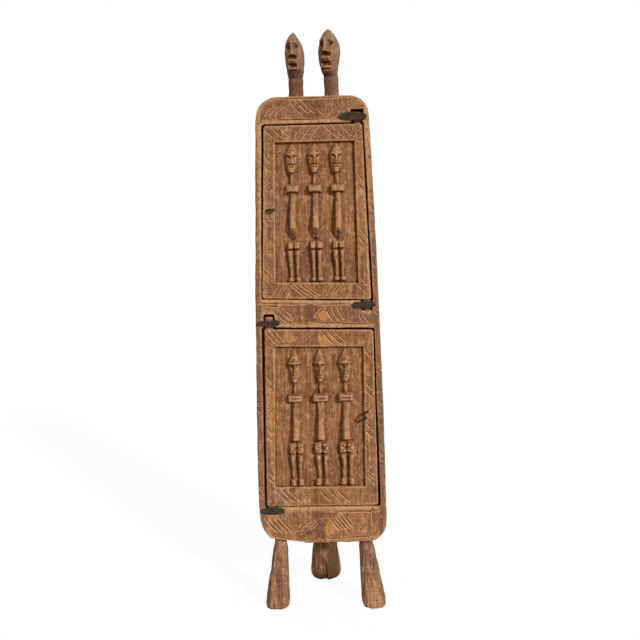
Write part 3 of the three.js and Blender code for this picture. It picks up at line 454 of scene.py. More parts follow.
def incising_tool():
    """Geometry nodes that sweep a pointed section along lines and stand it against the front."""
    tree = bpy.data.node_groups.new("incised_lines", "GeometryNodeTree")
    sockets = (
        ("Lines", "INPUT", "Geometry"), ("Width", "INPUT", "Float"), ("Depth", "INPUT", "Float"),
        ("Waver", "INPUT", "Float"), ("Front", "INPUT", "Float"), ("Seed", "INPUT", "Int"),
        ("Cutters", "OUTPUT", "Geometry"),
    )
    for name, side, kind in sockets:
        tree.interface.new_socket(name, in_out=side, socket_type="NodeSocket" + kind)
    maker = NodeMaker(tree)
    given = maker.add("NodeGroupInput").outputs
    curve = maker.add("GeometryNodeMeshToCurve", Mesh=given["Lines"])
    fine = maker.add("GeometryNodeResampleCurve", {"mode": "LENGTH"}, Curve=curve, Length=LINE_STEP)
    noise = maker.add(
        "ShaderNodeTexNoise", {"noise_dimensions": "4D"}, Vector=maker.add("GeometryNodeInputPosition"),
        W=Value(maker, given["Seed"]) * 7.3, Scale=110.0, Detail=1.0,
    )
    level = maker.add("ShaderNodeCombineXYZ", X=given["Waver"], Y=given["Waver"], Z=0.0)
    middle = (0.5, 0.5, 0.5)
    centred = maker.add("ShaderNodeVectorMath", {"operation": "SUBTRACT"}, noise.outputs["Color"], middle)
    sway = maker.add("ShaderNodeVectorMath", {"operation": "MULTIPLY"}, centred, level)
    moved = maker.add("GeometryNodeSetPosition", Geometry=fine, Offset=sway)
    share = maker.number("GeometryNodeSplineParameter", output="Factor")
    radius = (share * (1 - share) * 4).power(0.32) * 0.93 + 0.07
    upright = maker.add("GeometryNodeSetCurveNormal", {"mode": "Z_UP"}, Curve=moved)
    circle = maker.add("GeometryNodeCurvePrimitiveCircle", Resolution=4, Radius=1.0)
    half_width = Value(maker, given["Width"]) * 0.5
    size = maker.add("ShaderNodeCombineXYZ", X=half_width, Y=given["Depth"], Z=1.0)
    section = maker.add("GeometryNodeTransform", Geometry=circle, Scale=size)
    swept = maker.add(
        "GeometryNodeCurveToMesh", Curve=upright, Profile_Curve=section, Scale=radius, Fill_Caps=True,
    )
    back = maker.add("ShaderNodeCombineXYZ", X=0.0, Y=given["Front"], Z=0.0)
    stood = maker.add("GeometryNodeTransform", Geometry=swept, Translation=back, Rotation=(math.pi / 2, 0, 0))
    real = maker.add("GeometryNodeRealizeInstances", Geometry=stood)
    coated = maker.add("GeometryNodeSetMaterial", Geometry=real, Material=material("handled_wood", wood))
    maker.add("NodeGroupOutput", Cutters=coated)
    return tree


def incised(mesh, lines, settings, seed):
    """The mesh with grooves cut along the lines, in passes in which no two lines cross."""
    tree = bpy.data.node_groups.get("incised_lines") or incising_tool()
    given = {
        "Width": settings.groove_width, "Depth": settings.groove_depth, "Waver": settings.groove_waver,
        "Front": FRONT - LINE_LIFT, "Seed": seed,
    }
    for kind in range(3):
        chosen = [line for line in lines if kind_of(line) == kind]
        if not chosen:
            continue
        holder = linked("bench", line_paths(chosen, seed + kind))
        modifier = holder.modifiers.new("incise", "NODES")
        modifier.node_group = tree
        for item in tree.interface.items_tree:
            if item.in_out == "INPUT" and item.name in given:
                modifier[item.identifier] = given[item.name]
        mesh = cut(mesh, off_bench(holder))
    return mesh


def kind_of(line):
    """0 for a border line, 1 for one that falls to the right, 2 for one that rises."""
    across, up = line[-2] - line[0], line[-1] - line[1]
    if len(line) > 4 or abs(across) < 3 or abs(up) < 3:
        return 0
    return 1 if across * up < 0 else 2


# Node trees
class NodeMaker:
    """Adds nodes to a tree: settings first, then what goes into their sockets, in order or by name."""

    def __init__(self, tree):
        self.tree = tree

    def plug(self, socket, value):
        """Links a socket to a number, to another socket or to a node's first output, or sets its value."""
        if isinstance(value, Value):
            value = value.socket
        elif isinstance(value, bpy.types.Node):
            value = value.outputs[0]
        if isinstance(value, bpy.types.NodeSocket):
            self.tree.links.new(value, socket)
        elif socket.type == "RGBA":
            socket.default_value = (*value, 1.0)[:4]
        else:
            socket.default_value = value

    def add(self, kind, settings=None, *in_order, **by_name):
        node = self.tree.nodes.new(kind)
        for name, value in (settings or {}).items():
            setattr(node, name, value)
        for socket, value in zip(node.inputs, in_order):
            self.plug(socket, value)
        for name, value in by_name.items():
            self.plug(node.inputs[name.replace("_", " ")], value)
        return node

    def number(self, kind, settings=None, *in_order, output=0, **by_name):
        """The number that a new node gives."""
        return Value(self, self.add(kind, settings, *in_order, **by_name).outputs[output])

    def stored(self, name):
        """The number that each point of the mesh keeps under a name."""
        return self.number("ShaderNodeAttribute", {"attribute_name": name}, output="Fac")

    def noise(self, vector, scale, detail, rough):
        return self.number("ShaderNodeTexNoise", Vector=vector, Scale=scale, Detail=detail, Roughness=rough)

    def mixed(self, share, a, b):
        """A colour between two others."""
        node = self.add("ShaderNodeMix", {"data_type": "RGBA"})
        for number, value in ((0, share), (6, a), (7, b)):
            self.plug(node.inputs[number], value)
        return node.outputs[2]

    def matt(self, color, roughness, specular, **relief):
        """A matt surface with small relief, at the material's output."""
        bump = self.add("ShaderNodeBump", **relief)
        shader = self.add(
            "ShaderNodeBsdfPrincipled", Base_Color=color, Roughness=roughness, Specular_IOR_Level=specular,
            Normal=bump,
        )
        self.add("ShaderNodeOutputMaterial", Surface=shader)


class Value:
    """A socket that holds a number; Python's operators add Math nodes to its tree."""

    def __init__(self, maker, socket):
        self.maker = maker
        self.socket = socket

    def math(self, operation, *others, clamp=False):
        settings = {"operation": operation, "use_clamp": clamp}
        return self.maker.number("ShaderNodeMath", settings, self, *others)

    def __add__(self, other):
        return self.math("ADD", other)

    __radd__ = __add__

    def __sub__(self, other):
        return self.math("SUBTRACT", other)

    def __rsub__(self, other):
        return (self * -1.0) + other

    def __mul__(self, other):
        return self.math("MULTIPLY", other)

    __rmul__ = __mul__

    def __truediv__(self, other):
        return self.math("DIVIDE", other)

    def power(self, exponent):
        return self.math("POWER", exponent)

    def larger(self, other):
        """The larger of two numbers."""
        return self.math("MAXIMUM", other)

    def clamped(self):
        """Kept between 0 and 1."""
        return self.math("ADD", 0.0, clamp=True)

    def rise(self, low, high):
        """0 at low and 1 at high, without overshoot."""
        return ((self - low) / (high - low)).clamped()


def emptied(block):
    """The maker for the cleared node tree of a material or a world."""
    block.use_nodes = True
    block.node_tree.nodes.clear()
    return NodeMaker(block.node_tree)


def material(name, make):
    """A material by its name, made at its first use."""
    if name not in bpy.data.materials:
        make(emptied(bpy.data.materials.new(name)))
    return bpy.data.materials[name]


# Patches on the front: middle and half size in mm (x, z)
ORANGE_PATCHES = (
    (10, 505, 12, 9), (13, 137, 13, 14), (14, 464, 16, 10), (-50, 468, 12, 9), (-87, 325, 5, 56),
)
# Dark stains, and painted shade in the gap under the top right staple at (77, 838.5) and on the necks under
# the chins at (-29, 908) and (34, 912)
STAINS_AND_PAINTED_SHADE = (
    (-14, 508, 9, 26), (-13, 531, 5, 9), (-6, 146, 11, 42), (-27, 132, 9, 7), (0, 866, 15, 25),
    (77, 838.5, 14, 3.5), (-29, 908, 14, 26), (34, 912, 5, 22), (101, 700, 7, 150),
)
# Painted shade: what faces down or lies deep on the heads and at the ends of the upper figures' chests
SHADED_PARTS = (
    (-28, 938, 13, 9), (31, 936, 14, 5.5), (-31, 967.5, 6.5, 2.8), (-30, 951.5, 8.5, 3.2),
    (31, 971.5, 7.5, 3.0), (31, 953.5, 9, 2.8), (-38, 646, 5, 10), (1, 646, 5, 10), (40, 646, 5, 10),
)
# Parts that are a little darker all over
SOILED_PARTS = (
    (0, 858, 96, 27), (0, 822, 84, 13), (0, 507, 104, 20), (80, 507, 26, 22), (0, 470, 88, 14),
    (0, 551, 84, 11), (105, 500, 7, 400), (-105, 560, 6, 330), (1, 592, 62, 27), (0, 238, 66, 26),
    (1, 726, 58, 8), (1, 365, 64, 8),
)
GREY_STAINS = ((-78, 196, 20, 12), (82, 228, 8, 26), (-74, 688, 16, 24), (76, 505, 30, 18), (-62, 160, 10, 9))


def patch_mask(x, z, patches, waver, softness):
    """1 inside ragged ovals on the front, 0 outside."""
    total = None
    for middle_x, middle_z, half_x, half_z in patches:
        across = (x - middle_x) / half_x
        up = (z - middle_z) / half_z
        inside = 1 - (across * across + up * up) + waver
        mask = inside.rise(-softness, softness)
        total = mask if total is None else total.larger(mask)
    return total


def wood(maker):
    """Dry, handled wood: long grain, dark hollows of dirt and painted shade, worn edges, the stains of the
    front, painted shade under what faces down and painted light on the back leg.
    """
    look = bpy.context.scene.carved_wood
    where = maker.add("ShaderNodeTexCoord").outputs["Object"]
    x, y, z = (Value(maker, part) / MM for part in maker.add("ShaderNodeSeparateXYZ", Vector=where).outputs)
    deep = y - FRONT / MM
    along_grain = maker.add("ShaderNodeMapping", Vector=where, Scale=(1.0, 1.0, 0.07))
    fibre, streak, band = (maker.noise(along_grain, scale, 3.0, 0.55) for scale in (700.0, 250.0, 95.0))
    blotch = maker.noise(where, 38.0, 4.0, 0.55)
    patch = maker.noise(where, 95.0, 3.0, 0.55)
    speck = maker.noise(where, 300.0, 4.0, 0.65)
    flecks = maker.noise(where, 240.0, 2.0, 0.55)
    pits = (1 - speck).rise(0.58, 0.66)
    hollow, wide_hollow, under, groove = map(maker.stored, ("hollow", "wide_hollow", "under", "groove"))
    raised, wide_raised = hollow * -1.0, wide_hollow * -1.0

    # Where on the box a point lies
    weathered = z.rise(TOP_OF_LOG + 2.0, TOP_OF_LOG + 20.0)
    on_front = (1 - deep.rise(12.0, 30.0)).larger(weathered)
    on_legs = 1 - z.rise(TOP_OF_LEGS - 6.0, TOP_OF_LEGS + 12.0)
    on_necks = weathered * (1 - z.rise(TOP_OF_NECKS - 6.0, TOP_OF_NECKS + 4.0))
    on_edge = x.math("ABSOLUTE").rise(94.0, 101.0) * on_front
    rounded = on_edge.larger(on_legs).larger(on_necks)
    # Painted light: the right half of the back leg, in the body's shadow, is lightened with the worn colour
    behind = on_legs * deep.rise(85.0, 95.0) * x.rise(-2.0, 8.0)

    # Stains and patches, with painted shade among the dark ones
    waver = (blotch - 0.5) * 2.6 + (speck - 0.5) * 1.2
    orange = patch_mask(x, z, ORANGE_PATCHES, waver, 0.5) * on_front
    grey = patch_mask(x, z, GREY_STAINS, waver, 0.6) * on_front
    dark = patch_mask(x, z, STAINS_AND_PAINTED_SHADE, waver, 0.6) * on_front
    soiled = patch_mask(x, z, SOILED_PARTS, waver, 0.9) * on_front * (1 - orange)
    shaded_parts = patch_mask(x, z, SHADED_PARTS, waver * 0.5, 0.5) * (1 - deep.rise(60.0, 66.0))

    # Dirt in the close hollows, painted shade in the wide hollows and under what faces down, wear on what
    # stands out
    groove_bottom = groove.rise(0.5, 0.8)
    groove_wall = groove.rise(0.06, 0.2) * (1 - groove_bottom)
    scuffed = patch.rise(0.54, 0.66) * streak.rise(0.44, 0.6) * (0.3 + 0.5 * wide_hollow.rise(-0.5, 1.2))
    # Painted shade: the wide hollows, such as the panel floor beside the figures, darken with the same colour
    # as the dirt in the close hollows
    dirt = (hollow.rise(0.1, 0.8) * 0.4).larger(wide_hollow.rise(0.3, 1.9) * (0.25 + 0.37 * on_front))
    # Painted shade: what faces down is darkened as well
    dirt = dirt.larger(under * 0.85) * (1 - groove_wall) + groove_bottom * 0.3
    dirt = (dirt + (speck - 0.5) * dirt * 1.4).clamped()
    worn = raised.rise(0.1, 0.4) * speck.rise(0.3, 0.6) * (0.2 + 0.8 * on_front)
    worn = worn.larger(wide_raised.rise(0.3, 1.6) * (1 - rounded * 0.8) * on_front * 0.8)
    proud = (deep * -1.0).rise(3.5, 8.0) * (1 - shaded_parts)

    tone = streak.rise(0.42, 0.58) * 0.36 + band.rise(0.43, 0.57) * 0.24 + patch.rise(0.43, 0.57) * 0.22
    tone = tone + fibre.rise(0.38, 0.62) * 0.18
    color = maker.mixed(tone, look.dark_grain, look.light_grain)
    layers = (
        (blotch.rise(0.48, 0.6) * 0.4, look.red_brown),
        (orange * 0.74, look.orange),
        (grey * 0.5, look.grey),
        (weathered * (0.3 + patch * 0.5), look.grey),
        (on_legs * 0.4, look.grey),
        (on_legs * (1 - streak).rise(0.48, 0.54) * 0.85, look.stain),
        # Painted shade: the necks, which lie under the chins, are darkened
        (on_necks * 0.45, look.stain),
        (on_edge * (0.42 + 0.25 * x.rise(90.0, 98.0)), look.stain),
        # Stains, and painted shade at the necks and the staple gap
        (dark * 0.82, look.stain),
        (soiled * 0.45, look.stain),
        # Painted shade on the heads and at the ends of the chests
        (shaded_parts * 0.8, look.dirt),
        (scuffed * (1 - dark * 0.7), look.worn),
        (dirt, look.dirt),
        (worn * (0.7 - 0.5 * rounded), look.worn),
        (groove_wall * 0.65, look.worn),
        (proud * 0.45, look.rubbed),
        # Painted light on the back leg
        (behind * 0.55, look.worn),
        (pits * 0.5, look.dirt),
        (flecks.rise(0.6, 0.7) * 0.3, look.worn),
    )
    for share, tint in layers:
        color = maker.mixed(share, color, tint)
    roughness = 0.74 + 0.14 * dirt - 0.12 * worn + (streak - 0.5) * 0.12
    relief = fibre * 0.5 + streak * 1.1 + speck * 0.7 + patch * 0.8 + flecks * 0.6 - pits * 0.4
    maker.matt(color, roughness, 0.14, Strength=0.9, Distance=0.0018, Height=relief)


def iron(maker):
    """Hammered iron, nearly black, with brown rust in the low spots."""
    look = bpy.context.scene.forged_iron
    where = maker.add("ShaderNodeTexCoord").outputs["Object"]
    drawn = maker.add("ShaderNodeMapping", Vector=where, Scale=(0.25, 1.0, 1.0))
    streak = maker.noise(drawn, 420.0, 3.0, 0.6)
    cloud = maker.noise(where, 130.0, 4.0, 0.6)
    grit = maker.noise(where, 700.0, 3.0, 0.6)
    hollow = maker.stored("hollow")
    rust = ((cloud * 0.7 + grit * 0.5).rise(0.52, 0.74) + hollow.rise(0.0, 0.3) * 0.4).clamped()
    bare = (hollow * -1.0).rise(0.2, 0.5).larger(streak.rise(0.5, 0.62) * grit.rise(0.4, 0.6))
    color = maker.mixed(rust, look.scale_colour, look.rust)
    color = maker.mixed(bare * 0.5, color, look.bare)
    roughness = 0.72 + 0.16 * rust - 0.1 * bare
    relief = cloud + streak + grit * 0.5
    maker.matt(color, roughness, 0.02, Strength=0.8, Distance=0.0009, Height=relief)


def pale_floor(maker):
    """A pale floor that looks white to the camera and keeps a soft shadow."""
    lit = maker.add("ShaderNodeBsdfDiffuse", Color=(0.86, 0.85, 0.83))
    glow = maker.add("ShaderNodeEmission", Color=WHITE, Strength=1.05)
    seen = maker.number("ShaderNodeLightPath", output="Is Camera Ray") * 0.9
    mix = maker.add("ShaderNodeMixShader", None, seen, lit, glow)
    maker.add("ShaderNodeOutputMaterial", Surface=mix)


def soft_world(fill):
    """Even light from all round; white where the camera or a reflection looks past the object."""
    world = bpy.data.worlds.new("soft_world")
    maker = emptied(world)
    rays = maker.add("ShaderNodeLightPath").outputs
    seen = Value(maker, rays["Is Camera Ray"])
    for kind in ("Is Glossy Ray", "Is Transmission Ray"):
        seen = seen.larger(Value(maker, rays[kind]))
    background = maker.add("ShaderNodeBackground", Color=WHITE, Strength=seen * (1.0 - fill) + fill)
    maker.add("ShaderNodeOutputWorld", Surface=background)
    return world


# Carved forms
def along(table, h):
    """The value at a height, between the points of a table."""
    return float(np.interp(h, *zip(*table)))


def round_angles(count):
    """Angles evenly spread round a full turn."""
    return np.arange(count) * 2 * math.pi / count


def face_form(spec, h, side, wide):
    """What stands out of the front of a head or is cut into it, at a height and a distance to the side."""
    nose, brow, eye, lips = (spec[name] for name in ("nose", "brow", "eye", "lips"))
    up = np.clip((h - nose) / (brow - nose), 0.0, 1.0)
    half_nose = 8.0 - 5.4 * up
    ridge = 8.5 * (1 - 0.65 * up) * ease(h, nose - 0.8, nose + 0.8) * (1 - ease(h, brow - 3, brow + 9))
    form = ridge * (1 - ease(side, half_nose * 0.3, half_nose))
    level = along(spec["face"], h)
    form += level * (1 - ease(side, lips * (0.75 if level > 0 else 0.15), lips * 1.04))
    form += 2.0 * hump(h - brow + 0.5, 4.0) * (1 - ease(side, wide * 0.6, wide * 0.98))
    at_eye = h - brow + 8.5 - 0.45 * (side - eye)
    hollow = 4.5 * hump(at_eye, 10.0) * hump(side - eye + 1.5, 6.5)
    slit = 3.6 * hump(at_eye, 2.6) * hump(side - eye, 6.0)
    return form - (hollow + slit)


def head_shape(spec):
    """One head: almond-shaped, with a long keeled nose, cut eyes and a mouth between two lips."""
    height = spec["outline"][-1][0]
    angles = round_angles(132)
    facing = np.sin(angles) < 0
    sine = np.abs(np.sin(angles))
    c, s = math.cos(spec["turn"]), math.sin(spec["turn"])
    rings = []
    for h in np.linspace(0.0, height, 200):
        wide, front, back = (along(spec[name], h) for name in ("outline", "front", "back"))
        x = wide * np.cos(angles)
        form = face_form(spec, h, np.abs(x), wide) * ease(sine, 0.0, 0.4)
        reach = np.where(facing, front * sine + form, back * sine)
        y = np.sign(np.sin(angles)) * reach
        middle = along(spec["middle"], h)
        rings.append(np.column_stack([
            middle + x * c - y * s,
            HEAD_SETBACK + x * s + y * c,
            np.full(len(angles), TOP_OF_LOG + spec["neck"] + h),
        ]))
    return loft(rings)


def neck_shape(spec):
    """The neck, flared a little where it leaves the log and rooted in the head."""
    tall = spec["neck"]
    levels = (
        (-NECK_ROOT, 2.6), (0.0, 1.6), (2.5, 0.5), (6.0, 0.0), (tall * 0.55, -0.5), (tall, 0.0),
        (tall + NECK_IN_HEAD, -1.5),
    )
    angles = round_angles(40)
    lean = spec["middle"][0][1] - spec["neck_x"]
    rings = []
    for rise, flare in levels:
        radius = NECK_RADIUS + flare
        rings.append(np.column_stack([
            spec["neck_x"] + lean * max(0.0, rise / tall) + radius * np.cos(angles),
            HEAD_SETBACK + radius * np.sin(angles),
            np.full(len(angles), TOP_OF_LOG + rise),
        ]))
    return loft(rings)


def relief_shape(levels, squareness, across):
    """A form on the recess's floor: each level is z, half width, height and, if it leans, how far."""
    angles = math.pi + np.linspace(0.0, math.pi, 19)
    c, s = np.cos(angles), np.sin(angles)
    low = FLOOR_OF_RECESS + ROOT
    rings = []
    for z, half, proud, *lean in levels:
        middle = across + sum(lean)
        x = middle + half * np.sign(c) * np.abs(c) ** (2 / squareness)
        y = FLOOR_OF_RECESS - proud * np.abs(s) ** (2 / squareness)
        ring = np.column_stack([x, y, np.full(len(x), z)])
        rings.append(np.vstack([ring, [[middle + half, low, z], [middle - half, low, z]]]))
    return loft(rings)


def heights(spec, *names):
    """How high the named parts of a figure lie."""
    return [spec["top"] - spec[name] for name in names]


def figure_head(spec, across):
    """A capped head and the ridge of its nose."""
    face, cap = spec["face_half"], spec["cap_half"]
    brim, cheek, shelf = spec["brim"], spec["cheek"], spec["shelf"]
    crown, brow, nose, mouth, chin = heights(spec, "crown", "brow", "nose", "mouth", "chin")
    head = relief_shape([
        (crown, 1.5, 3.5), (crown - 2, 3.0, 6.5), (crown * 0.65 + brow * 0.35, cap * 0.56, 10.2),
        ((crown + brow * 3) / 4, cap * 0.86, 13.2), (brow + 1.6, cap, 14.4 + brim),
        (brow + 0.4, cap, 14.2 + brim), (brow - shelf, face, cheek), (brow - 7, face, cheek - 0.8),
        (nose + 1, face * 0.99, cheek - 0.8), (nose - 1.4, face * 0.97, 9.4), (mouth + 1.2, face * 0.9, 12.2),
        (mouth - 1.5, face * 0.83, 12.2), ((mouth + chin) / 2, face * 0.7, 12.4),
        (chin + 1, face * 0.46, 12.4), (chin, face * 0.34, 6.0),
    ], 1.9, across)
    ridge = relief_shape([
        (brow + 1, 2.0, 14.4), (brow - 5, 2.0, 14.2), (nose + 5, 3.0, 15.4), (nose + 0.6, 4.6, 16.6),
        (nose - 0.4, 4.2, 12.0),
    ], 1.8, across)
    return [head, ridge]


def figure_trunk(spec, across):
    """Neck, bar of the shoulders and long chest."""
    chin, neck_low, bar_low = heights(spec, "chin", "neck_low", "bar_low")
    chest_low, chest_end = heights(spec, "chest_low", "chest_end")
    bar_half, high, half = spec["bar_half"], spec["chest_top"], spec["chest_half"]
    neck = relief_shape([(chin + 3, 3.4, 6.5), (neck_low - 1.5, 3.8, 7.0)], 2.4, across)
    bar = relief_shape([
        (neck_low, bar_half * 0.9, 6.0), (neck_low - 3.4, bar_half * 0.98, 13.0),
        ((neck_low + bar_low) / 2, bar_half, 14.0), (bar_low + 1.6, bar_half * 0.98, 14.0),
        (bar_low, bar_half * 0.93, 11.0),
    ], 4.4, across)
    chest = relief_shape([
        (bar_low + 1, high, 5.5, 0.6), (bar_low - 3, high, 7.5, 0.6), (bar_low - 14, high + 0.2, 9.6, 0.6),
        ((bar_low + chest_low) / 2, (high + half) / 2, 12.8, 0.4), (chest_low + 8, half, 16.4),
        (chest_low + 1.0, half, 17.2), (chest_low - 1.2, half * 0.94, 14.6),
        ((chest_low * 2 + chest_end) / 3, half * 1.05, 10.4),
        ((chest_low + chest_end * 2) / 3, half * 0.95, 5.4), (chest_end, half * 0.7, 0.6),
    ], 3.0, across)
    return [neck, bar, chest]


def figure_leg(spec, across, side):
    """One half of the hips and the leg below it, and the low wood between them; side is -1 or 1."""
    high, low, foot_high, foot_low = heights(spec, "hip_high", "hip_low", "foot_high", "foot_low")
    hip, thigh, ankle = spec["hip_half"], spec["leg_half"], spec["ankle_half"]
    middle = across + side * spec["leg_across"]
    return [
        relief_shape([
            (high, hip - 1.0, 6.0, -side * 0.3), (high - 3.0, hip, 11.4), ((high + low) / 2, hip + 0.1, 12.6),
            (low + 1.2, hip, 12.4), (low, hip - 0.5, 9.4),
        ], 3.4, middle),
        relief_shape([
            (low - 2.6, thigh, 6.0, side * 0.4), (low - 5.0, thigh + 0.5, 11.6, side * 0.4),
            (low - 10, thigh + 0.2, 11.6), ((low + foot_high) / 2, (thigh + ankle) / 2, 9.6, -side * 0.8),
            (foot_high + 5, ankle, 7.2, -side * 1.0), (foot_high + 1.4, ankle, 6.6, -side * 0.9),
            (foot_high - 0.6, ankle + 1.5, 10.4, -side * 0.3), (foot_low + 1.0, ankle + 1.7, 10.6),
            (foot_low, ankle + 1.2, 7.0),
        ], 2.2, middle),
        relief_shape([(low + 1, hip - 0.6, 2.6), (low - 4, hip - 0.6, 2.6)], 2.6, middle),
    ]


def figure_shapes(spec, across):
    """One standing figure."""
    legs = [*figure_leg(spec, across, -1), *figure_leg(spec, across, 1)]
    return [*figure_head(spec, across), *figure_trunk(spec, across), *legs]


def dents(spec, across):
    """Small cuts in a figure: x, z, half width, half height, depth, and how steeply it rises to the right."""
    brow, crown, mouth = heights(spec, "brow", "crown", "mouth")
    marks = [(across + side * 6.2, brow - 4.2, 3.6, 1.9, 4.6, side * 0.5) for side in (-1, 1)]
    marks.append((across, mouth - 1.2, 4.6, 0.9, 2.6, 0.0))
    for side in (-1, 1):
        for share in (0.3, 0.62):
            z = crown + (brow - crown) * (share + 0.12)
            marks.append((across + side * (2.0 + 4.6 * share), z, 4.0, 0.8, 1.8, -side * 0.8))
    if spec["bar_groove"]:
        bar_middle = spec["top"] - (spec["neck_low"] + spec["bar_low"]) / 2
        marks.append((across, bar_middle - 1.0, 8.4, 1.3, spec["bar_groove"], 0.0))
        hip_middle = spec["top"] - (spec["hip_high"] + spec["hip_low"]) / 2
        marks.append((across + 1.0, hip_middle - 1.0, 3.6, 3.0, 4.0, 0.0))
        marks += [(across + side * 7.0, hip_middle + 2.6, 5.0, 1.2, 2.4, side * 0.7) for side in (-1, 1)]
        marks += [(across + side * 8.0, hip_middle - 4.6, 4.6, 1.0, 2.0, -side * 0.6) for side in (-1, 1)]
    return marks


def straight_tool(corners, deep, near):
    """The space that a straight cut takes out of the front, from corners in x and z."""
    return loft([[(x, y, z) for x, z in corners] for y in (deep, near)])


def rail_cut(low, high, deep):
    """The space that a square cut takes out of a rail."""
    corners = [(low[0], low[1]), (high[0], low[1]), (high[0], high[1]), (low[0], high[1])]
    return straight_tool(corners, deep, CLEAR_OF_FRONT)


def crack_tool():
    """A wedge that runs up the back leg and closes towards its top and its bottom."""
    across, half, high, start, deep = LEG_CRACK.values()
    rings = []
    for share in (-0.1, 0.25, 0.5, 0.8, 1.0):
        wide = half * (1.0 - 0.65 * max(0.0, share))
        z, bottom = high * share, deep - 6.0 * share
        drift = across + 1.2 * math.sin(5.0 * share)
        rings.append([
            (drift - wide, start, z), (drift + wide, start, z), (drift + wide * 0.3, bottom, z),
            (drift - wide * 0.3, bottom, z),
        ])
    return loft(rings)


def carve_door(node, recess, spec, lines, settings, seed):
    """A door plank: its panel sunk, its figures set in, its surface worked and its lines incised."""
    plank = cut(copy_of(node), mesh_of([straight_tool(recess, FLOOR_OF_RECESS, CLEAR_OF_FIGURES)]))
    middles = [spec["shift"] + i * spec["spacing"] for i in (-1, 0, 1)]
    shapes = [shape for across in middles for shape in figure_shapes(spec, across)]
    mesh = remeshed(together(plank, mesh_of(shapes)), settings.door_voxel)
    points, facing = points_of(mesh)
    rough = Rough(seed)
    depth = np.zeros(len(points))
    in_front = ease(-facing[:, 1], 0.2, 0.7)
    low, high = min(z for _, z in recess), max(z for _, z in recess)
    in_panel = ease(90.0 - np.abs(points[:, 0]), 18.0, 34.0) * ease(13.0 - points[:, 1], 0.0, 4.0)
    in_panel *= ease(points[:, 2], low + 1.0, low + 6.0) * ease(-points[:, 2], 2.0 - high, 7.0 - high)
    points[:, 0] += 1.1 * in_panel * Rough(seed + 1)(points, 17.0, 40.0, 21.0)
    for across in middles:
        for x, z, half_x, half_z, deep, slope in dents(spec, across):
            right = points[:, 0] - x
            near = (right / half_x) ** 4 + ((points[:, 2] - z - slope * right) / half_z) ** 2
            depth += deep * np.exp(-near) * in_front * (points[:, 1] < FLOOR_OF_RECESS - 2)
    sunk_floor = ease(points[:, 1], 3.5, 5.5) * in_front * (points[:, 1] < FLOOR_OF_RECESS + 1.5)
    gouged = np.abs(rough(points, 4.2, 8.0, 30.0)) * 2.0 + rough(points, 11.0, 9.0, 24.0) * 0.9
    marks = sunk_floor * gouged + (1 - sunk_floor) * 0.5 * rough(points, 14.0, 14.0, 36.0)
    facets = in_panel * (1 - sunk_floor) * np.abs(rough(points, 5.5, 5.5, 11.0))
    marks += 0.45 * rough(points, 3.2, 3.2, 7.0) + facets * 2.0
    put_points(mesh, sunk(points, facing, depth + settings.tool_marks / MM * marks))
    mesh = thinned(mesh, settings.door_triangles, np.where(points[:, 1] > 12.0, 1.0, 0.0))
    return finished(incised(mesh, lines, settings, seed), recess)


def groove_share(points, facing, recess):
    """How deep each point lies in an incised line: 0 at the rim and off the lines, 1 at the bottom."""
    x, y, z = points.T
    edge = np.interp(z, *zip(*EDGE_OF_FRONT))
    on_flat = (np.abs(x) < edge) & (z > TOP_OF_LEGS + 7) & (z < TOP_OF_LOG - 3) & (y < 3)
    if recess:
        across, up = np.transpose(recess)
        beside = (x < across.min() - 1) | (x > across.max() + 1)
        on_flat &= beside | (z < up.min() - 1) | (z > up.max() + 1)
    return ease(y, 0.4, 2.0) * ease(-facing[:, 1], 0.3, 0.6) * on_flat


def finished(mesh, recess=None):
    """Shading and the values that the finish reads."""
    shaded(mesh, WOOD_EDGE)
    keep_value(mesh, "groove", groove_share(*points_of(mesh), recess))
    keep_value(mesh, "hollow", hollowness(mesh, CLOSE_ROUNDS))
    keep_value(mesh, "wide_hollow", hollowness(mesh, WIDE_ROUNDS))
    # How far each point faces down, which the wood darkens as painted shade
    keep_value(mesh, "under", ease(-points_of(mesh)[1][:, 2], 0.25, 0.6))
    return mesh


def carve_head(spec, settings, seed):
    """A head on its neck, cut with a knife."""
    mesh = remeshed(mesh_of([head_shape(spec), neck_shape(spec)]), settings.head_voxel)
    points, facing = points_of(mesh)
    rough = Rough(seed)
    depth = np.abs(rough(points, 7.0, 7.0, 14.0)) * 1.6 + 0.6 * rough(points, 2.6, 2.6, 7.0)
    put_points(mesh, sunk(points, facing, settings.tool_marks / MM * depth))
    return thinned(mesh, settings.head_triangles, np.where(points[:, 1] > HEAD_SETBACK + 4.0, 0.5, 0.0))


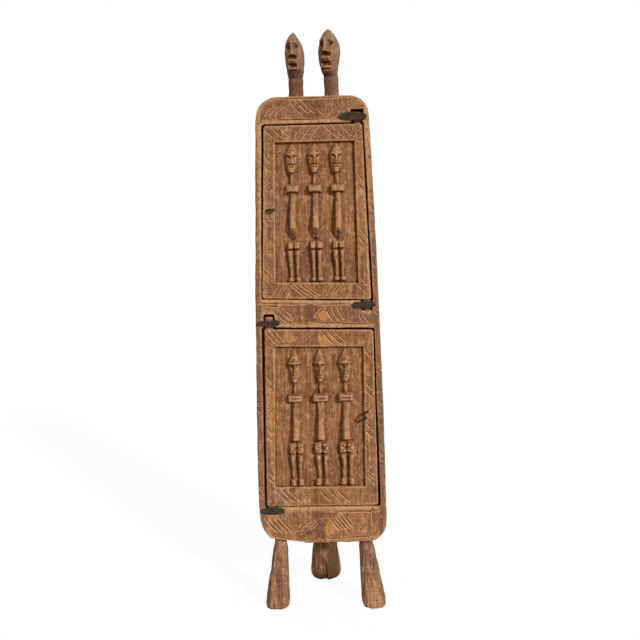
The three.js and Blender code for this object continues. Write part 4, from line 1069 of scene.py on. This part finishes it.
def carve_carcass(settings):
    """The log: surface dressed with the adze, heads set on, lines incised."""
    mesh = remeshed(cut_above(copy_of("carcass"), TOP_OF_LOG + 0.3), settings.carcass_voxel)
    points, facing = points_of(mesh)
    rough = Rough(11)
    y = points[:, 1]
    front = ease(-facing[:, 1], 0.5, 0.9) * (y < 3.0)
    drift = 4.0 * rough(points, 60.0, 60.0, 90.0)[:, None]
    scoop = np.abs(rough(points + drift, 13.0, 13.0, 40.0))
    depth = (1 - front) * (1.5 * scoop + 0.5 * rough(points, 40.0, 40.0, 110.0))
    depth += front * 0.6 * rough(points, 16.0, 16.0, 30.0)
    depth += 0.6 * rough(points, 5.0, 5.0, 16.0)
    on_legs = ease(TOP_OF_LEGS - points[:, 2], 0.0, 16.0)
    depth += on_legs * (np.abs(rough(points, 4.4, 4.4, 80.0)) * 4.5 - 2.6)
    points = sunk(points, facing, settings.tool_marks / MM * depth)
    points[:, 2] = np.maximum(points[:, 2], 0.0)
    put_points(mesh, points)
    x, z = points[:, 0], points[:, 2]
    inside = (np.abs(x) < 90) & (y > 12) & (y < 135) & (z > TOP_OF_LEGS + 13) & (z < TOP_OF_LOG - 11)
    mesh = thinned(mesh, settings.carcass_triangles, np.where(inside, 1.0, np.where(front > 0.5, 0.0, 0.5)))
    for seed, spec in enumerate((LEFT_HEAD, RIGHT_HEAD), start=12):
        mesh = cut(mesh, carve_head(spec, settings, seed), "UNION")
    mesh = cut(mesh, mesh_of([*(rail_cut(*corners) for corners in RAIL_CUTS), crack_tool()]))
    return finished(incised(mesh, CARCASS_LINES, settings, 21))


def hammered(node, settings, seed):
    """A piece of iron with soft edges and hammer marks."""
    mesh = remeshed(copy_of(node), settings.voxel)
    points, facing = points_of(mesh)
    rough = Rough(seed)
    depth = settings.hammer_marks / MM * (rough(points, 4.5, 4.5, 4.0) + 0.4 * rough(points, 1.6, 1.6, 1.6))
    put_points(mesh, sunk(points, facing, depth))
    shaded(mesh, IRON_EDGE)
    keep_value(mesh, "hollow", hollowness(mesh, CLOSE_ROUNDS))
    return mesh


# Settings
def length(name, description, default):
    return bpy.props.FloatProperty(name=name, description=description, default=default, unit="LENGTH")


def strength(name, description, default):
    return bpy.props.FloatProperty(name=name, description=description, default=default)


def count(name, description, default):
    return bpy.props.IntProperty(name=name, description=description, default=default)


def colour(name, description, default):
    return bpy.props.FloatVectorProperty(name=name, description=description, default=default, subtype="COLOR")


class CarvedWoodSettings(bpy.types.PropertyGroup):
    carcass_voxel: length("Carcass fineness", "Size of the faces that the carcass is carved with", 1.9 * MM)
    head_voxel: length("Head fineness", "Size of the faces that a head is carved with", 0.9 * MM)
    door_voxel: length("Door fineness", "Size of the faces that a door is carved with", 1.1 * MM)
    carcass_triangles: count("Carcass triangles", "About how many triangles the log keeps", 112000)
    head_triangles: count("Head triangles", "About how many triangles a head and its neck keep", 30000)
    door_triangles: count("Door triangles", "About how many triangles a door keeps", 150000)
    tool_marks: length("Tool marks", "Depth of the marks of adze and gouge", 0.55 * MM)
    groove_width: length("Groove width", "Width of an incised line", 6.2 * MM)
    groove_depth: length("Groove depth", "Depth of an incised line", 2.3 * MM)
    groove_waver: length("Groove waver", "How far an incised line strays", 1.2 * MM)
    dark_grain: colour("Dark grain", "Colour of the dark streaks", (0.135, 0.053, 0.019))
    light_grain: colour("Light grain", "Colour of the light streaks", (0.45, 0.214, 0.092))
    red_brown: colour("Red brown", "Colour of the cloudy patches", (0.28, 0.115, 0.047))
    orange: colour("Orange", "Colour of the patches rubbed bare", (0.52, 0.22, 0.07))
    # This colour also paints the shade on the necks under the chins and in the gap under the top right staple
    stain: colour("Stain", "Colour of the dark stains", (0.16, 0.066, 0.036))
    grey: colour("Weathered grey", "Colour of weathered wood", (0.25, 0.148, 0.094))
    # This colour also paints shade in the wide hollows, under what faces down and on the shaded patches of
    # the heads and chests
    dirt: colour("Dirt", "Colour of what fills the hollows", (0.085, 0.033, 0.014))
    rubbed: colour("Rubbed", "Colour of what stands out furthest", (0.64, 0.3, 0.13))
    # This colour also paints light on the back leg
    worn: colour("Worn edge", "Colour of edges rubbed by hands", (0.68, 0.368, 0.17))


class ForgedIronSettings(bpy.types.PropertyGroup):
    voxel: length("Iron fineness", "Size of the faces that iron is forged with", 0.55 * MM)
    hammer_marks: length("Hammer marks", "Depth of the hammer marks", 0.38 * MM)
    scale_colour: colour("Forge scale", "Colour of the dark skin of the iron", (0.034, 0.025, 0.02))
    rust: colour("Rust", "Colour of the rust", (0.062, 0.036, 0.023))
    bare: colour("Bare iron", "Colour of rubbed iron", (0.17, 0.135, 0.108))


class StageSettings(bpy.types.PropertyGroup):
    distance: length("Camera distance", "From the front of the box to the camera", 1.35)
    height: length("Camera height", "Height of the camera over the floor", 0.59)
    across: length("Camera across", "How far right of the middle the camera stands", 0.0065)
    width: length("Width seen", "How much of the front's plane the picture spans", 1.105)
    drop: length("Drop", "How far the picture's middle lies below the camera's height", 0.092)
    roll: bpy.props.FloatProperty(
        name="Roll", description="How far the camera is turned about its view", default=math.radians(1.55),
        unit="ROTATION",
    )
    key_light: strength("Key light", "Strength of the lamp from the upper right", 2.9)
    fill_light: strength("Fill light", "Strength of the light from all round", 0.32)
    floor_half: length("Floor", "Half the width of the floor", 4.0)


# Operators
class CARVEDBOX_OT_stage(bpy.types.Operator):
    """Sets the floor, the lights and the camera"""

    bl_idname = "carved_box.stage"
    bl_label = "Set the stage"

    def execute(self, context):
        settings = context.scene.carved_stage
        scene = context.scene
        scene.view_settings.view_transform = "Standard"
        half = settings.floor_half
        floor = bpy.data.meshes.new("floor")
        corners = [(-half, -half, 0), (half, -half, 0), (half, half, 0), (-half, half, 0)]
        floor.from_pydata(corners, [], [(0, 1, 2, 3)])
        floor.materials.append(material("pale_floor", pale_floor))
        linked("floor", floor)
        scene.world = soft_world(settings.fill_light)
        sun = bpy.data.lights.new("key_light", "SUN")
        sun.energy = settings.key_light
        sun.angle = LAMP_SPREAD
        lamp = linked("key_light", sun)
        lamp.rotation_mode = "QUATERNION"
        lamp.rotation_quaternion = Vector(TO_LAMP).to_track_quat("Z", "Y")
        camera = bpy.data.cameras.new("camera")
        camera.sensor_width = 36.0
        camera.lens = camera.sensor_width * settings.distance / settings.width
        camera.shift_y = -settings.drop / settings.width
        eye = linked("camera", camera)
        c, s = math.cos(settings.roll), math.sin(settings.roll)
        turned = Matrix(((c, s, 0), (0, 0, -1), (-s, c, 0))).to_4x4()
        place = Vector((settings.across, FRONT - settings.distance, settings.height))
        eye.matrix_world = Matrix.Translation(place) @ turned
        scene.camera = eye
        return {"FINISHED"}


class CARVEDBOX_OT_carcass(bpy.types.Operator):
    """Carves the log with its heads and legs"""

    bl_idname = "carved_box.carcass"
    bl_label = "Carve the carcass"

    def execute(self, context):
        mesh = carve_carcass(context.scene.carved_wood)
        placed("carved_carcass", mesh, material("handled_wood", wood), "box", "carcass_wood", "carcass")
        return {"FINISHED"}


class CARVEDBOX_OT_doors(bpy.types.Operator):
    """Carves both doors with their figures"""

    bl_idname = "carved_box.doors"
    bl_label = "Carve the doors"

    def execute(self, context):
        settings = context.scene.carved_wood
        plans = (
            ("upper_door", "upper_leaf", UPPER_RECESS, UPPER_FIGURES, UPPER_LINES, 31),
            ("lower_door", "lower_leaf", LOWER_RECESS, LOWER_FIGURES, LOWER_LINES, 41),
        )
        for node, body, recess, figures, lines, seed in plans:
            mesh = carve_door(node, recess, figures, lines, settings, seed)
            placed("carved_" + node, mesh, material("handled_wood", wood), body, "door_wood", node)
        return {"FINISHED"}


class CARVEDBOX_OT_iron(bpy.types.Operator):
    """Forges the staples and the pulls"""

    bl_idname = "carved_box.iron"
    bl_label = "Forge the iron"

    def execute(self, context):
        settings = context.scene.forged_iron
        for body, nodes in frame["record"]["behaviour"]["bodies"].items():
            for seed, node in enumerate(nodes, start=51):
                if node.endswith(("staple", "pull")):
                    mesh = hammered(node, settings, seed)
                    placed("forged_" + node, mesh, material("hammered_iron", iron), body, "forged_iron", node)
        return {"FINISHED"}


class CARVEDBOX_PT_panel(bpy.types.Panel):
    """Lists the steps and their sizes in the sidebar"""

    bl_idname = "CARVEDBOX_PT_panel"
    bl_label = "Carved Box"
    bl_space_type = "VIEW_3D"
    bl_region_type = "UI"
    bl_category = "Carved Box"

    def draw(self, context):
        for group in (context.scene.carved_wood, context.scene.forged_iron, context.scene.carved_stage):
            column = self.layout.column(align=True)
            for name in group.__annotations__:
                column.prop(group, name)
        for step in STEPS:
            self.layout.operator(step.bl_idname)


STEPS = (CARVEDBOX_OT_stage, CARVEDBOX_OT_carcass, CARVEDBOX_OT_doors, CARVEDBOX_OT_iron)
GROUPS = {
    "carved_wood": CarvedWoodSettings,
    "forged_iron": ForgedIronSettings,
    "carved_stage": StageSettings,
}
CLASSES = (*GROUPS.values(), *STEPS, CARVEDBOX_PT_panel)


def register():
    for cls in CLASSES:
        bpy.utils.register_class(cls)
    for name, group in GROUPS.items():
        setattr(bpy.types.Scene, name, bpy.props.PointerProperty(type=group))


def unregister():
    for name in GROUPS:
        delattr(bpy.types.Scene, name)
    for cls in reversed(CLASSES):
        bpy.utils.unregister_class(cls)


def main():
    register()
    for step in (bpy.ops.carved_box.stage, bpy.ops.carved_box.carcass, bpy.ops.carved_box.doors,
                 bpy.ops.carved_box.iron):
        step()


if __name__ == "__main__":
    main()
